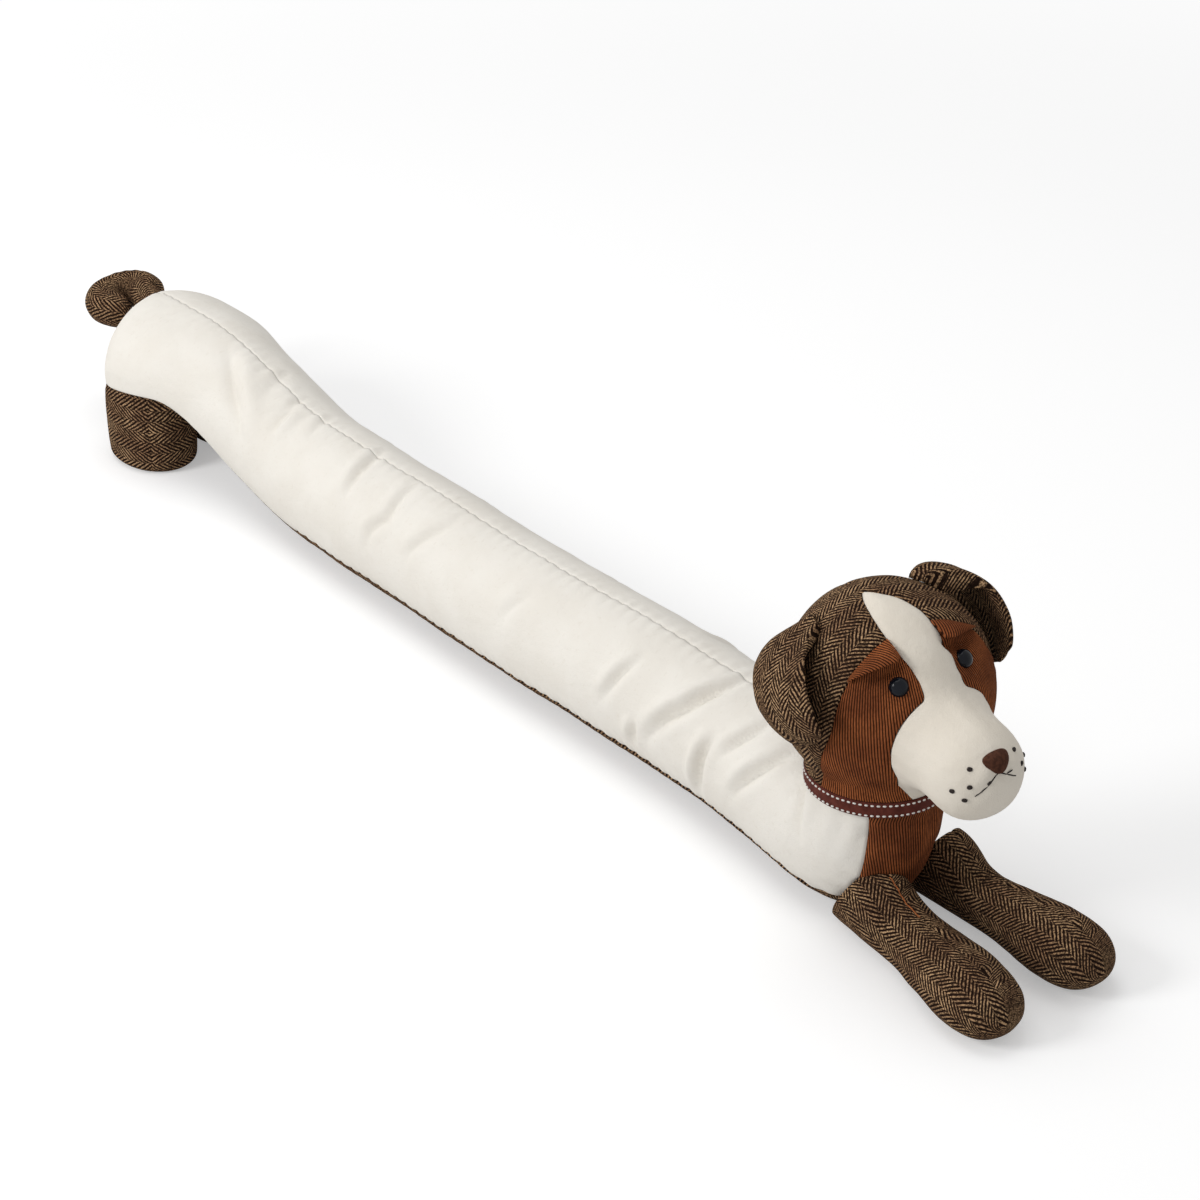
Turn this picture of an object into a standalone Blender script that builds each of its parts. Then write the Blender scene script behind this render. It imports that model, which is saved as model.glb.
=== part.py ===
# Dog draught excluder: a long stuffed dog that lies along the foot of a door.
# Units are metres, +X points to the head and +Z is up.
# The origin lies on the floor, under the middle of the body.

import bpy
import bmesh
import numpy as np
from math import cos, log, pi, radians, sin, sqrt, tan

# Clearance and cloth
GAP = 0.0003                    # between pieces that touch
FILLING_GAP = 0.0005            # between the cloth and the filling inside it
CLOTH = 0.0025                  # a cloth panel with its fleece backing

# Body tube
BODY_HALF_WIDTH = 0.0452
BODY_HEIGHT = 0.0912
FLOOR_PRESS = 0.0022            # how far the floor flattens the round tube
SHOULDER_TOP_X = 0.3180         # where the back starts to rise into the neck
SHOULDER_BASE_X = 0.3620        # where the belly starts to rise into the chest
BASE_SEAM_ANGLE = radians(58)   # from straight down to the seam of the base panel

# Hindquarters
HIP_X = -0.4000
HIP_HALF_WIDTH = 0.0628
HIP_TAPER_X = -0.2900           # where the hips have narrowed to the tube
HIP_TOP = 0.1190
HIP_BOTTOM = 0.0100             # lowest point of the oval that the hips are drawn from
HIP_SEAM_ANGLE = radians(82)
REAR_REACH = 0.0490             # from the middle of the hips to the back end
REAR_SQUARENESS = 3.1           # of the back end from the side: 2 is an ellipse
REAR_POLE_HEIGHT = 0.0670       # height of the rearmost point
REAR_POLE_RATIO = 0.05          # the covers meet there in a small gathered hole
RISE_FRONT_X = -0.1900          # where the belly leaves the floor
RISE_REAR_X = -0.3560           # where it reaches the hind legs
BELLY_RISE = 0.0260             # of the oval's lowest point there
REAR_LEG_HEIGHT = 0.0630
HIP_FLOOR_SLOPE = 0.12          # the hips rest higher on the fronts of the legs
REAR_BOW = 0.0028               # the slack body bows to the dog's left, ahead of the hips
REAR_BOW_X = -0.2900
FRONT_BOW = 0.0030              # and again behind the shoulders
FRONT_BOW_X = 0.2000
BOW_REACH = 0.1500              # half the length of each bow
REAR_LEG_LENGTH = 0.0790        # from its front to its back
REAR_LEG_WIDTH = 0.0620
REAR_LEG_SPACING = 0.0670       # between the middles of the two hind legs
REAR_LEG_X = -0.3960
REAR_LEG_EDGE = 0.0070          # rounding under the foot
REAR_LEG_SINK = 0.0060          # how far the leg stump is drawn up into the hips
REAR_LEG_SWELL = 0.10           # how far the leg swells below its middle, against its edge
REAR_LEG_DRAW_IN = 0.70         # how far its top is drawn in, against its edge
REAR_LEG_SWELL_HEIGHT = 0.40    # heights of both, against the leg
REAR_LEG_WAIST_HEIGHT = 0.75
REAR_LEG_CHAMFER = 0.30         # shape of the rounding under the foot
HIP_FLOOR_POWER = 0.5           # how the cut above the hind legs closes at the back end
RISE_FLOOR_POWER = 1.5          # and how it opens behind the belly

# Tail
TAIL_HEIGHT = 0.0970
TAIL_RADIUS = 0.0125
TAIL_CURL_RADIUS = 0.0175
TAIL_CURL_X = -0.4795
TAIL_CURL_Y = -0.0010
TAIL_DIP = 0.0040               # the curl hangs lower on the dog's right
TAIL_CURL_START = radians(38)
TAIL_CURL_END = radians(304)
TAIL_ROOT_SHARE = 0.80          # thickness at the root, against the curl
TAIL_JOIN_SHARE = 0.90          # and halfway to the curl
TAIL_TIP_START = 0.80           # where along the curl the rounding of its tip starts
TAIL_TIP_SHARE = 0.30           # size of the last ring

# Bend of the front end towards the dog's right
BEND_START_X = 0.2500
BEND_END_X = 0.3400
BEND_ANGLE = radians(-8)

# Neck and collar
NECK_RADIUS = 0.0415
NECK_TILT = radians(-1)
NECK_X = 0.3880
NECK_Z = 0.1030
NAPE_REACH = 0.0140             # how gradually the back turns up into the nape
NAPE_DROP = 0.0080
BELLY_REACH = 0.0520            # how gradually the belly turns up into the throat
THROAT_DROP = 0.0340
NECK_LENGTH = 0.0160
CHEST_HALF_WIDTH = 0.0385
CHEST_SEAM_ANGLE = radians(54)
CHEST_TIP_ANGLE = radians(36)
CHEST_TURN = radians(9)         # the panel sits round towards the dog's left
CHEST_TIP_SHARE = 0.35          # how far up the chest the panel is narrow
CHEST_SPREAD_SHARE = 0.20       # where it starts to widen again
COLLAR_WIDTH = 0.0100
COLLAR_THICKNESS = 0.0014
COLLAR_DROP = 0.0006            # from the neck seam down to the ribbon

# Front legs
FRONT_LEG_LENGTH = 0.1540
FRONT_ROOT_WIDTH = 0.0380
FRONT_LEG_WIDTH = 0.0300        # at the waist, ahead of the root
FRONT_PAW_WIDTH = 0.0490
PAW_START = 0.42                # where along the leg it widens into the paw
PAW_END = 0.80
FRONT_LEG_HEIGHT = 0.0370
FRONT_PAW_HEIGHT = 0.0390
SHOULDER_HEIGHT = 0.0500
FRONT_LEG_X = 0.3830
SHOULDER_LEAN = 0.0290          # how far the top of the leg's seam lies ahead of its foot
RIGHT_LEG_Y = -0.0270
RIGHT_LEG_ANGLE = radians(-8)
LEFT_LEG_Y = 0.0270
LEFT_LEG_ANGLE = radians(0.5)
LEG_CROWDING = 1.35             # gathers the rings towards the paw
LEG_WAIST = 0.42                # where along the leg the root has narrowed to the waist
LEG_MIDDLE = 0.48               # height of the widest line, as a share of the leg's height
PAW_TIP_START = 0.80            # where the rounding of the paw starts
PAW_TIP_POWER = 2.2             # of that rounding: 2 is an ellipse
PAW_TIP_SHARE = 0.22            # size of the last ring, against the paw

# Head
HEAD_X = 0.3846
HEAD_Y = -0.0070
HEAD_Z = 0.1515
HEAD_RADIUS = 0.0635
HEAD_TURN = radians(-9.5)
HEAD_ROLL = radians(7)
MUZZLE_REACH = 0.0842
MUZZLE_DROP = 0.0072
MUZZLE_RADIUS = 0.0285
MUZZLE_BLEND = 0.0200
CHEEK_SEAM_X = 0.0285           # the seam of the crown lies this far ahead of the head's middle
CHEEK_SEAM_SWEEP = 0.0200       # how far the seam swings back down to the neck
CHEEK_SWEEP_TOP = 0.0150
CHEEK_SWEEP_FOOT = -0.0450
MUZZLE_SEAM_RADIUS = 0.0355
MUZZLE_SEAM_DROP = 0.0005       # the cream reaches further below the muzzle than above it
MUZZLE_SEAM_BLEND = 0.0030      # softens the corner between the muzzle's seam and the blaze
CHIN_HALF_WIDTH = 0.0260        # of the cream cloth under the chin
BLAZE_HALF_WIDTH = 0.0155
BLAZE_WIDE_X = 0.0240           # where the blaze is at its widest
BLAZE_NARROW = 0.0035           # how much narrower it is between the eyes
BLAZE_NARROW_X = 0.0580
BLAZE_TIP_X = -0.0110
BROW_HEIGHT = 0.0040
BROW_TUCK = 0.0014
BROW_INNER_Z = 0.0495
BROW_OUTER_Y = 0.0423
BROW_OUTER_Z = 0.0395
BROW_WIDTH = 0.0042
BROW_RIDGE_RISE = 0.5           # the ridge lies this many widths above the tuck's line
BROW_FADE = 0.15                # share of the brow over which each end fades out

# Face
EYE_X = 0.0478
EYE_Y = 0.0232
EYE_Z = 0.0354
EYE_RADIUS = 0.0058
EYE_HEIGHT = 0.0046
PAD_RIM = 0.06                  # thickness at the rim of a domed pad, against its height
NOSE_Y = 0.0015                 # the whole face sits a little to the left of the muzzle
NOSE_Z = 0.0112
NOSE_WIDTH = 0.0165
NOSE_LENGTH = 0.0125
NOSE_HEIGHT = 0.0034
NOSE_FORWARD = 0.70             # how far round the muzzle it lies: 1 is the muzzle's front
NOSE_NARROWING = 0.30           # of its lower corners
MOUTH_THREAD_RADIUS = 0.0006
MOUTH_THREAD_LIFT = 1.2         # its middle lies this many radii above the cloth
# The mouth is one line of thread: distances to the left of the muzzle's middle and above it
MOUTH_STOPS = ((0.0120, 0.0030), (0.0090, 0.0070), (0.0056, 0.0091), (0.0005, 0.0100),
               (-0.0050, 0.0063), (-0.0092, 0.0021), (-0.0133, -0.0019))
# Whisker knots on one side, as distances to the side and above
WHISKER_SPOTS = ((0.0140, 0.0158), (0.0165, 0.0066), (0.0186, -0.0022), (0.0222, 0.0025))
WHISKER_RADIUS = 0.0013
WHISKER_HEIGHT = 0.0008

# Ears
EAR_THICKNESS = 0.0055
EAR_RIGHT_LIFT = 0.0115         # how far each ear arches off the head
EAR_RIGHT_PEAK = 0.66           # and where along it
EAR_LEFT_LIFT = 0.0118
EAR_LEFT_PEAK = 0.40
EAR_TIP_LIFT = 0.0030
EAR_ROOT_RISE = radians(55)
EAR_TIP_RISE = radians(-2)
EAR_FRONT_EDGE = radians(102), radians(88), radians(78), radians(69), radians(63), radians(69)
EAR_BACK_EDGE = radians(120), radians(121), radians(123), radians(121), radians(108), radians(81)
EAR_EDGE_THINNING = 0.55
EAR_DROOP = radians(4)          # the back edge hangs lower than the front edge
EAR_ARCH_FALL = 4.0             # the arch is lower at both edges by one part in this
EAR_EDGE_POWER = 4              # how late the ear thins towards its edges

# Mesh steps
BASE_STEPS = 8
COVER_STEPS = 6
REAR_STEPS = 5
TUBE_STEPS = 40
CHEST_STEPS = 9
CHEST_PANEL_STEP = 3            # the base panel reaches this many steps up the chest
NECK_STEPS = 2
SKULL_SUBDIVISIONS = 4
LEG_STEPS = 14
LEG_SIDES = 14
REAR_LEG_SIDES = 24
TAIL_STEPS = 15
TAIL_SIDES = 12
PAD_RINGS = 3
PAD_SIDES = 16
KNOT_SIDES = 8
THREAD_SIDES = 6
EAR_LONG_STEPS = 10
EAR_WIDE_STEPS = 6
COLLAR_SIDES = 32
MERGE_DISTANCE = 1e-6
SHARP_ANGLE = radians(50)
CUT_MARGIN = 0.01               # a cut keeps this share of an edge from its ends
SLOPE_STEP = 1e-3               # turn over which the head's slope is measured
FRONT_CROWDING = 0.48           # gathers the head's triangles towards the muzzle

# Colours: red, green, blue, roughness and metallic value
CREAM = (0.83, 0.79, 0.71, 0.90, 0.0)
TWEED = (0.075, 0.045, 0.030, 0.92, 0.0)
CORDUROY = (0.165, 0.042, 0.014, 0.88, 0.0)
WADDING = (0.88, 0.88, 0.86, 0.95, 0.0)
RIBBON = (0.060, 0.018, 0.012, 0.75, 0.0)
NOSE_CLOTH = (0.060, 0.026, 0.016, 0.85, 0.0)
EYE_PLASTIC = (0.006, 0.006, 0.008, 0.12, 0.0)
THREAD = (0.020, 0.014, 0.012, 0.80, 0.0)


# Small helpers

def smoothstep(start, end, value):
    share = np.clip((np.asarray(value, float) - start) / (end - start), 0.0, 1.0)
    return share * share * (3.0 - 2.0 * share)


def bezier(first, second, third, fourth, share):
    rest = 1.0 - share
    terms = ((first, rest ** 3), (second, 3 * rest * rest * share))
    terms += ((third, 3 * rest * share * share), (fourth, share ** 3))
    return sum(np.array(point, float) * weight for point, weight in terms)


def make_material(name, look):
    material = bpy.data.materials.new(name)
    material.use_nodes = True
    shader = material.node_tree.nodes["Principled BSDF"]
    shader.inputs["Base Color"].default_value = (look[0], look[1], look[2], 1.0)
    shader.inputs["Roughness"].default_value = look[3]
    shader.inputs["Metallic"].default_value = look[4]
    material.diffuse_color = (look[0], look[1], look[2], 1.0)
    return material


def add_object(name, points, faces, material):
    mesh = bpy.data.meshes.new(name)
    mesh.from_pydata([tuple(point) for point in points], [], [tuple(face) for face in faces])
    work = bmesh.new()
    work.from_mesh(mesh)
    bmesh.ops.remove_doubles(work, verts=work.verts, dist=MERGE_DISTANCE)
    bmesh.ops.recalc_face_normals(work, faces=work.faces)
    if work.calc_volume(signed=True) < 0.0:
        bmesh.ops.reverse_faces(work, faces=work.faces)
    work.to_mesh(mesh)
    work.free()
    mesh.shade_smooth()
    mesh.set_sharp_from_angle(angle=SHARP_ANGLE)
    item = bpy.data.objects.new(name, mesh)
    item.data.materials.append(material)
    bpy.context.scene.collection.objects.link(item)
    return item


def grid_triangles(rows, columns, closed=False):
    """Two triangles for each cell of a grid of points, row by row."""
    faces = []
    across = columns if closed else columns - 1
    for row in range(rows - 1):
        for column in range(across):
            after = (column + 1) % columns
            low = row * columns
            high = low + columns
            faces.append((low + column, low + after, high + after))
            faces.append((low + column, high + after, high + column))
    return faces


def panel_object(name, outer, inner, material):
    """A thin closed panel between two grids of points of the same size.

    Its edge is split the same way whichever way round it runs, so that panels side by side
    keep their clearance where the seam twists.
    """
    rows, columns = outer.shape[:2]
    count = rows * columns
    points = np.concatenate([outer.reshape(-1, 3), inner.reshape(-1, 3)])
    faces = grid_triangles(rows, columns)
    faces += [(c + count, b + count, a + count) for a, b, c in faces]
    rim = list(range(columns))
    rim += [row * columns + columns - 1 for row in range(1, rows)]
    rim += [(rows - 1) * columns + column for column in range(columns - 2, -1, -1)]
    rim += [row * columns for row in range(rows - 2, 0, -1)]
    for here, after in zip(rim, rim[1:] + rim[:1]):
        if here < after:
            faces.append((here, here + count, after + count))
            faces.append((here, after + count, after))
        else:
            faces.append((here, here + count, after))
            faces.append((here + count, after + count, after))
    return add_object(name, points, faces, material)


def tube_object(name, rings, material):
    """A closed solid through rings of points, with a middle point in each end."""
    rows, columns = rings.shape[:2]
    points = rings.reshape(-1, 3)
    first = rings[0].mean(axis=0)
    last = rings[-1].mean(axis=0)
    points = np.concatenate([points, [first, last]])
    faces = grid_triangles(rows, columns, closed=True)
    start = rows * columns
    end = (rows - 1) * columns
    for column in range(columns):
        after = (column + 1) % columns
        faces.append((after, column, start))
        faces.append((end + column, end + after, start + 1))
    return add_object(name, points, faces, material)


# Sections: an oval between a top and a bottom point, cut flat at a floor height

def section(top, bottom, half_width, floor, angles, inset):
    top = np.array(top, float)
    bottom = np.array(bottom, float)
    middle = (top + bottom) / 2.0
    half_height = np.linalg.norm(top - bottom) / 2.0
    upward = (top - bottom) / (2.0 * half_height)
    rise = -np.cos(angles) * (half_height - inset)
    reach = np.sin(angles) * (half_width - inset)
    x = middle[0] + rise * upward[0]
    z = np.maximum(middle[1] + rise * upward[1], floor + inset)
    return np.stack([x, reach, z], axis=1)


def bend(points):
    """Turns the front end of the body towards the dog's right."""
    points = np.array(points, float)
    span = BEND_END_X - BEND_START_X
    slope_end = tan(BEND_ANGLE)
    over = np.clip(points[..., 0] - BEND_START_X, 0.0, span)
    beyond = np.maximum(points[..., 0] - BEND_END_X, 0.0)
    slope = slope_end * over / span
    middle = slope_end * over * over / (2.0 * span) + slope_end * beyond
    for bow, place in ((REAR_BOW, REAR_BOW_X), (FRONT_BOW, FRONT_BOW_X)):
        share = np.clip((points[..., 0] - place) / BOW_REACH, -1.0, 1.0)
        middle = middle + bow * np.cos(pi / 2.0 * share) ** 2
    length = np.sqrt(1.0 + slope * slope)
    side = points[..., 1].copy()
    points[..., 0] = points[..., 0] - side * slope / length
    points[..., 1] = middle + side / length
    return points


def neck_points():
    """The neck's axis and its four corners, seen from the side."""
    axis = np.array([sin(NECK_TILT), cos(NECK_TILT)])
    forward = np.array([cos(NECK_TILT), -sin(NECK_TILT)])
    top_middle = np.array([NECK_X, NECK_Z])
    nape = top_middle - forward * NECK_RADIUS
    throat = top_middle + forward * NECK_RADIUS
    return axis, nape, throat


def body_stations(inset):
    """Top, bottom, half width, floor, seam angle and seam turn of each section, tail to neck."""
    stations = []
    for step in range(REAR_STEPS):
        angle = np.arccos(REAR_POLE_RATIO) * (1.0 - step / REAR_STEPS)
        x = HIP_X - (REAR_REACH - inset) * sin(angle)
        tall = (1.0 - sin(angle) ** REAR_SQUARENESS) ** (1.0 / REAR_SQUARENESS)
        top = REAR_POLE_HEIGHT + (HIP_TOP - REAR_POLE_HEIGHT) * tall
        bottom = REAR_POLE_HEIGHT + (HIP_BOTTOM - REAR_POLE_HEIGHT) * tall
        under = REAR_LEG_HEIGHT + HIP_FLOOR_SLOPE * (x - HIP_X)
        floor = REAR_POLE_HEIGHT + (under - REAR_POLE_HEIGHT) * tall ** HIP_FLOOR_POWER
        stations.append(((x, top), (x, bottom), HIP_HALF_WIDTH * cos(angle), floor,
                         HIP_SEAM_ANGLE, 0.0))
    for step in range(TUBE_STEPS):
        share = step / TUBE_STEPS
        top_x = HIP_X + (SHOULDER_TOP_X - HIP_X) * share
        base_x = HIP_X + (SHOULDER_BASE_X - HIP_X) * share
        lift = float(smoothstep(RISE_FRONT_X, RISE_REAR_X, base_x))
        hips = float(smoothstep(HIP_TAPER_X, HIP_X, base_x))
        tuck = float(smoothstep(RISE_REAR_X, HIP_X, base_x))
        top = BODY_HEIGHT + (HIP_TOP - BODY_HEIGHT) * lift
        belly = -FLOOR_PRESS + BELLY_RISE * lift
        bottom = belly + (HIP_BOTTOM - belly) * tuck
        under = REAR_LEG_HEIGHT + HIP_FLOOR_SLOPE * (base_x - HIP_X)
        floor = under * lift ** RISE_FLOOR_POWER
        half_width = BODY_HALF_WIDTH + (HIP_HALF_WIDTH - BODY_HALF_WIDTH) * hips
        seam = BASE_SEAM_ANGLE + (HIP_SEAM_ANGLE - BASE_SEAM_ANGLE) * hips
        stations.append(((top_x, top), (base_x, bottom), half_width, floor, seam, 0.0))
    axis, nape, throat = neck_points()
    nape_low = nape - axis * NECK_LENGTH
    throat_low = throat - axis * NECK_LENGTH
    back_start = np.array([SHOULDER_TOP_X, BODY_HEIGHT])
    belly_start = np.array([SHOULDER_BASE_X, -FLOOR_PRESS])
    for step in range(CHEST_STEPS):
        share = step / CHEST_STEPS
        top = bezier(back_start, back_start + (NAPE_REACH, 0.0),
                     nape_low - axis * NAPE_DROP, nape_low, share)
        bottom = bezier(belly_start, belly_start + (BELLY_REACH, 0.0),
                        throat_low - axis * THROAT_DROP, throat_low, share)
        half_width = BODY_HALF_WIDTH + (CHEST_HALF_WIDTH - BODY_HALF_WIDTH) * share
        pinch = float(smoothstep(0.0, CHEST_TIP_SHARE, share))
        spread = float(smoothstep(CHEST_SPREAD_SHARE, 1.0, share))
        seam = BASE_SEAM_ANGLE + (CHEST_TIP_ANGLE - BASE_SEAM_ANGLE) * pinch
        seam = seam + (CHEST_SEAM_ANGLE - CHEST_TIP_ANGLE) * spread
        stations.append((top, bottom, half_width, 0.0, seam, CHEST_TURN * spread))
    for step in range(NECK_STEPS + 1):
        drop = NECK_LENGTH * (1.0 - step / NECK_STEPS)
        if step == NECK_STEPS:
            drop = GAP / 2.0
        half_width = CHEST_HALF_WIDTH + (NECK_RADIUS - CHEST_HALF_WIDTH) * step / NECK_STEPS
        stations.append((nape - axis * drop, throat - axis * drop, half_width, 0.0,
                         CHEST_SEAM_ANGLE, CHEST_TURN))
    return stations


def seam_angles(seam, turn, side, half_gap):
    """Angles across one cover, from its lower seam to the seam along the back."""
    if side > 0.0:
        return np.linspace(turn + seam + half_gap, pi - half_gap, COVER_STEPS + 1)
    return np.linspace(half_gap - pi, turn - seam - half_gap, COVER_STEPS + 1)


def whole_angles(seam, turn):
    under = np.linspace(turn - seam, turn + seam, BASE_STEPS + 1)
    left = np.linspace(turn + seam, pi, COVER_STEPS + 1)[1:]
    right = np.linspace(-pi, turn - seam, COVER_STEPS + 1)[1:-1]
    return np.concatenate([under, left, right])


def body_rings(inset):
    """Rings of the whole body at a depth below the cloth's outer face."""
    rings = []
    for top, bottom, half_width, floor, seam, turn in body_stations(inset):
        angles = whole_angles(seam, turn)
        rings.append(section(top, bottom, half_width, floor, angles, inset))
    return bend(np.array(rings))


def cover_grid(side, inset):
    rows = []
    for top, bottom, half_width, floor, seam, turn in body_stations(inset):
        angles = seam_angles(seam, turn, side, GAP / 2.0 / half_width)
        rows.append(section(top, bottom, half_width, floor, angles, inset))
    return bend(np.array(rows))


def under_grid(inset, first, last):
    """The strip below the two covers: the base panel, then the chest."""
    rows = []
    for top, bottom, half_width, floor, seam, turn in body_stations(inset)[first:last]:
        half_gap = GAP / 2.0 / half_width
        angles = np.linspace(turn - seam + half_gap, turn + seam - half_gap, BASE_STEPS + 1)
        rows.append(section(top, bottom, half_width, floor, angles, inset))
    return bend(np.array(rows))


def shorten_start(grid):
    """Draws the first row of a strip back from its neighbour by the clearance."""
    step = grid[1] - grid[0]
    length = np.linalg.norm(step, axis=-1, keepdims=True)
    grid[0] = grid[0] + step / length * GAP
    return grid


def make_body(materials):
    tube_object("body_filling", body_rings(CLOTH + FILLING_GAP), materials["wadding"])
    for name, side in (("cover_right", -1.0), ("cover_left", 1.0)):
        outer = cover_grid(side, 0.0)
        inner = cover_grid(side, CLOTH)
        panel_object(name, outer, inner, materials["cream"])
    chest_start = REAR_STEPS + TUBE_STEPS + CHEST_PANEL_STEP
    base_outer = under_grid(0.0, 0, chest_start + 1)
    base_inner = under_grid(CLOTH, 0, chest_start + 1)
    panel_object("base_panel", base_outer, base_inner, materials["tweed"])
    chest_outer = shorten_start(under_grid(0.0, chest_start, None))
    chest_inner = shorten_start(under_grid(CLOTH, chest_start, None))
    panel_object("chest_panel", chest_outer, chest_inner, materials["corduroy"])
    envelope = tube_object("body_envelope", body_rings(-GAP), materials["cream"])
    envelope.hide_render = True
    envelope.display_type = 'WIRE'
    return envelope


def cut_by(item, cutter):
    """Cuts a piece to the outer face of the body, less the clearance."""
    cut = item.modifiers.new("fit_to_body", 'BOOLEAN')
    cut.operation = 'DIFFERENCE'
    cut.solver = 'EXACT'
    cut.object = cutter


# Legs and tail

def front_leg(name, y, angle, envelope, material):
    angles = np.linspace(-pi, pi, LEG_SIDES + 1)[:-1]
    rings = []
    for step in range(LEG_STEPS + 1):
        share = step / LEG_STEPS
        along = 1.0 - (1.0 - share) ** LEG_CROWDING
        paw = float(smoothstep(PAW_START, PAW_END, along))
        root = 1.0 - float(smoothstep(0.0, LEG_WAIST, along))
        height = FRONT_LEG_HEIGHT + (FRONT_PAW_HEIGHT - FRONT_LEG_HEIGHT) * paw
        height = height + (SHOULDER_HEIGHT - FRONT_LEG_HEIGHT) * root
        width = FRONT_LEG_WIDTH + (FRONT_PAW_WIDTH - FRONT_LEG_WIDTH) * paw
        width = width + (FRONT_ROOT_WIDTH - FRONT_LEG_WIDTH) * root
        tip = max(0.0, (along - PAW_TIP_START) / (1.0 - PAW_TIP_START))
        size = max(PAW_TIP_SHARE, (1.0 - tip ** PAW_TIP_POWER) ** (1.0 / PAW_TIP_POWER))
        middle = height * LEG_MIDDLE
        x = FRONT_LEG_LENGTH * along
        top = (x + SHOULDER_LEAN * root, middle + (height - middle) * size)
        bottom = (x, middle - (middle + FLOOR_PRESS) * size)
        rings.append(section(top, bottom, width / 2.0 * size, 0.0, angles, 0.0))
    rings = np.array(rings)
    turned = rings.copy()
    turned[..., 0] = FRONT_LEG_X + rings[..., 0] * cos(angle) - rings[..., 1] * sin(angle)
    turned[..., 1] = y + rings[..., 0] * sin(angle) + rings[..., 1] * cos(angle)
    leg = tube_object(name, turned, material)
    cut_by(leg, envelope)
    return leg


def rear_leg(name, y, envelope, material):
    angles = np.linspace(0.0, 2.0 * pi, REAR_LEG_SIDES + 1)[:-1]
    edge = REAR_LEG_EDGE
    chamfer = edge * REAR_LEG_CHAMFER
    top = REAR_LEG_HEIGHT + REAR_LEG_SINK
    levels = [(0.0, -edge), (chamfer, -chamfer), (edge, 0.0),
              (top * REAR_LEG_SWELL_HEIGHT, edge * REAR_LEG_SWELL),
              (top * REAR_LEG_WAIST_HEIGHT, 0.0), (top, -edge * REAR_LEG_DRAW_IN)]
    rings = []
    for z, growth in levels:
        x = REAR_LEG_X + (REAR_LEG_LENGTH / 2.0 + growth) * np.cos(angles)
        side = y + (REAR_LEG_WIDTH / 2.0 + min(growth, 0.0)) * np.sin(angles)
        rings.append(np.stack([x, side, np.full(REAR_LEG_SIDES, z)], axis=1))
    leg = tube_object(name, np.array(rings), material)
    cut_by(leg, envelope)
    return leg


def sweep(path, radii, sides):
    """Rings of a round tube along a path that never runs straight up."""
    path = np.array(path, float)
    rings = []
    for index, middle in enumerate(path):
        before = path[max(index - 1, 0)]
        after = path[min(index + 1, len(path) - 1)]
        along = (after - before) / np.linalg.norm(after - before)
        across = np.cross((0.0, 0.0, 1.0), along)
        across = across / np.linalg.norm(across)
        upward = np.cross(along, across)
        turns = np.linspace(0.0, 2.0 * pi, sides + 1)[:-1]
        ring = [middle + radii[index] * (cos(turn) * across + sin(turn) * upward)
                for turn in turns]
        rings.append(ring)
    return np.array(rings)


def make_tail(envelope, material):
    root_x = HIP_X - REAR_REACH + TAIL_RADIUS
    root = np.array([root_x, 0.0, TAIL_HEIGHT])
    start = np.array([TAIL_CURL_X + TAIL_CURL_RADIUS * cos(TAIL_CURL_START),
                      TAIL_CURL_Y + TAIL_CURL_RADIUS * sin(TAIL_CURL_START), TAIL_HEIGHT])
    path = [root, (root + start) / 2.0]
    radii = [TAIL_RADIUS * TAIL_ROOT_SHARE, TAIL_RADIUS * TAIL_JOIN_SHARE]
    for step in range(TAIL_STEPS + 1):
        share = step / TAIL_STEPS
        turn = TAIL_CURL_START + (TAIL_CURL_END - TAIL_CURL_START) * share
        dip = TAIL_DIP * (1.0 - cos(turn - TAIL_CURL_START)) / 2.0
        path.append(np.array([TAIL_CURL_X + TAIL_CURL_RADIUS * cos(turn),
                              TAIL_CURL_Y + TAIL_CURL_RADIUS * sin(turn),
                              TAIL_HEIGHT - dip]))
        tip = max(0.0, (share - TAIL_TIP_START) / (1.0 - TAIL_TIP_START))
        radii.append(TAIL_RADIUS * max(TAIL_TIP_SHARE, sqrt(max(0.0, 1.0 - tip * tip))))
    tail = tube_object("tail", sweep(path, radii, TAIL_SIDES), material)
    cut_by(tail, envelope)
    return tail


# Head: a round skull with a blunt muzzle, in the head's own axes (forward, left, up)

def head_axes():
    forward = np.array([cos(HEAD_TURN), sin(HEAD_TURN), 0.0])
    left = np.array([-sin(HEAD_TURN), cos(HEAD_TURN), 0.0])
    upward = np.array([0.0, 0.0, 1.0])
    rolled_left = left * cos(HEAD_ROLL) + upward * sin(HEAD_ROLL)
    rolled_up = upward * cos(HEAD_ROLL) - left * sin(HEAD_ROLL)
    return np.array([forward, rolled_left, rolled_up])


def head_to_world(points):
    return np.array(points, float) @ head_axes() + np.array([HEAD_X, HEAD_Y, HEAD_Z])


def head_radius(directions):
    """Distance from the middle of the skull to the surface, for unit directions."""
    muzzle = np.array([MUZZLE_REACH, 0.0, -MUZZLE_DROP])
    reach = np.linalg.norm(muzzle)
    along = directions @ (muzzle / reach)
    across = np.sqrt(np.maximum(1.0 - along * along, 1e-12))
    inside = np.maximum(MUZZLE_RADIUS ** 2 - (reach * across) ** 2, 0.0)
    ball = reach * along + np.sqrt(inside)
    side = MUZZLE_RADIUS / across
    on_ball = across * reach < MUZZLE_RADIUS * along
    muzzle_radius = np.where(on_ball, ball, np.where(along > 0.0, side, 0.0))
    near = np.maximum(MUZZLE_BLEND - np.abs(muzzle_radius - HEAD_RADIUS), 0.0) / MUZZLE_BLEND
    return np.maximum(muzzle_radius, HEAD_RADIUS) + near * near * MUZZLE_BLEND / 4.0


def unit(vectors):
    vectors = np.array(vectors, float)
    return vectors / np.linalg.norm(vectors, axis=-1, keepdims=True)


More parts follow.
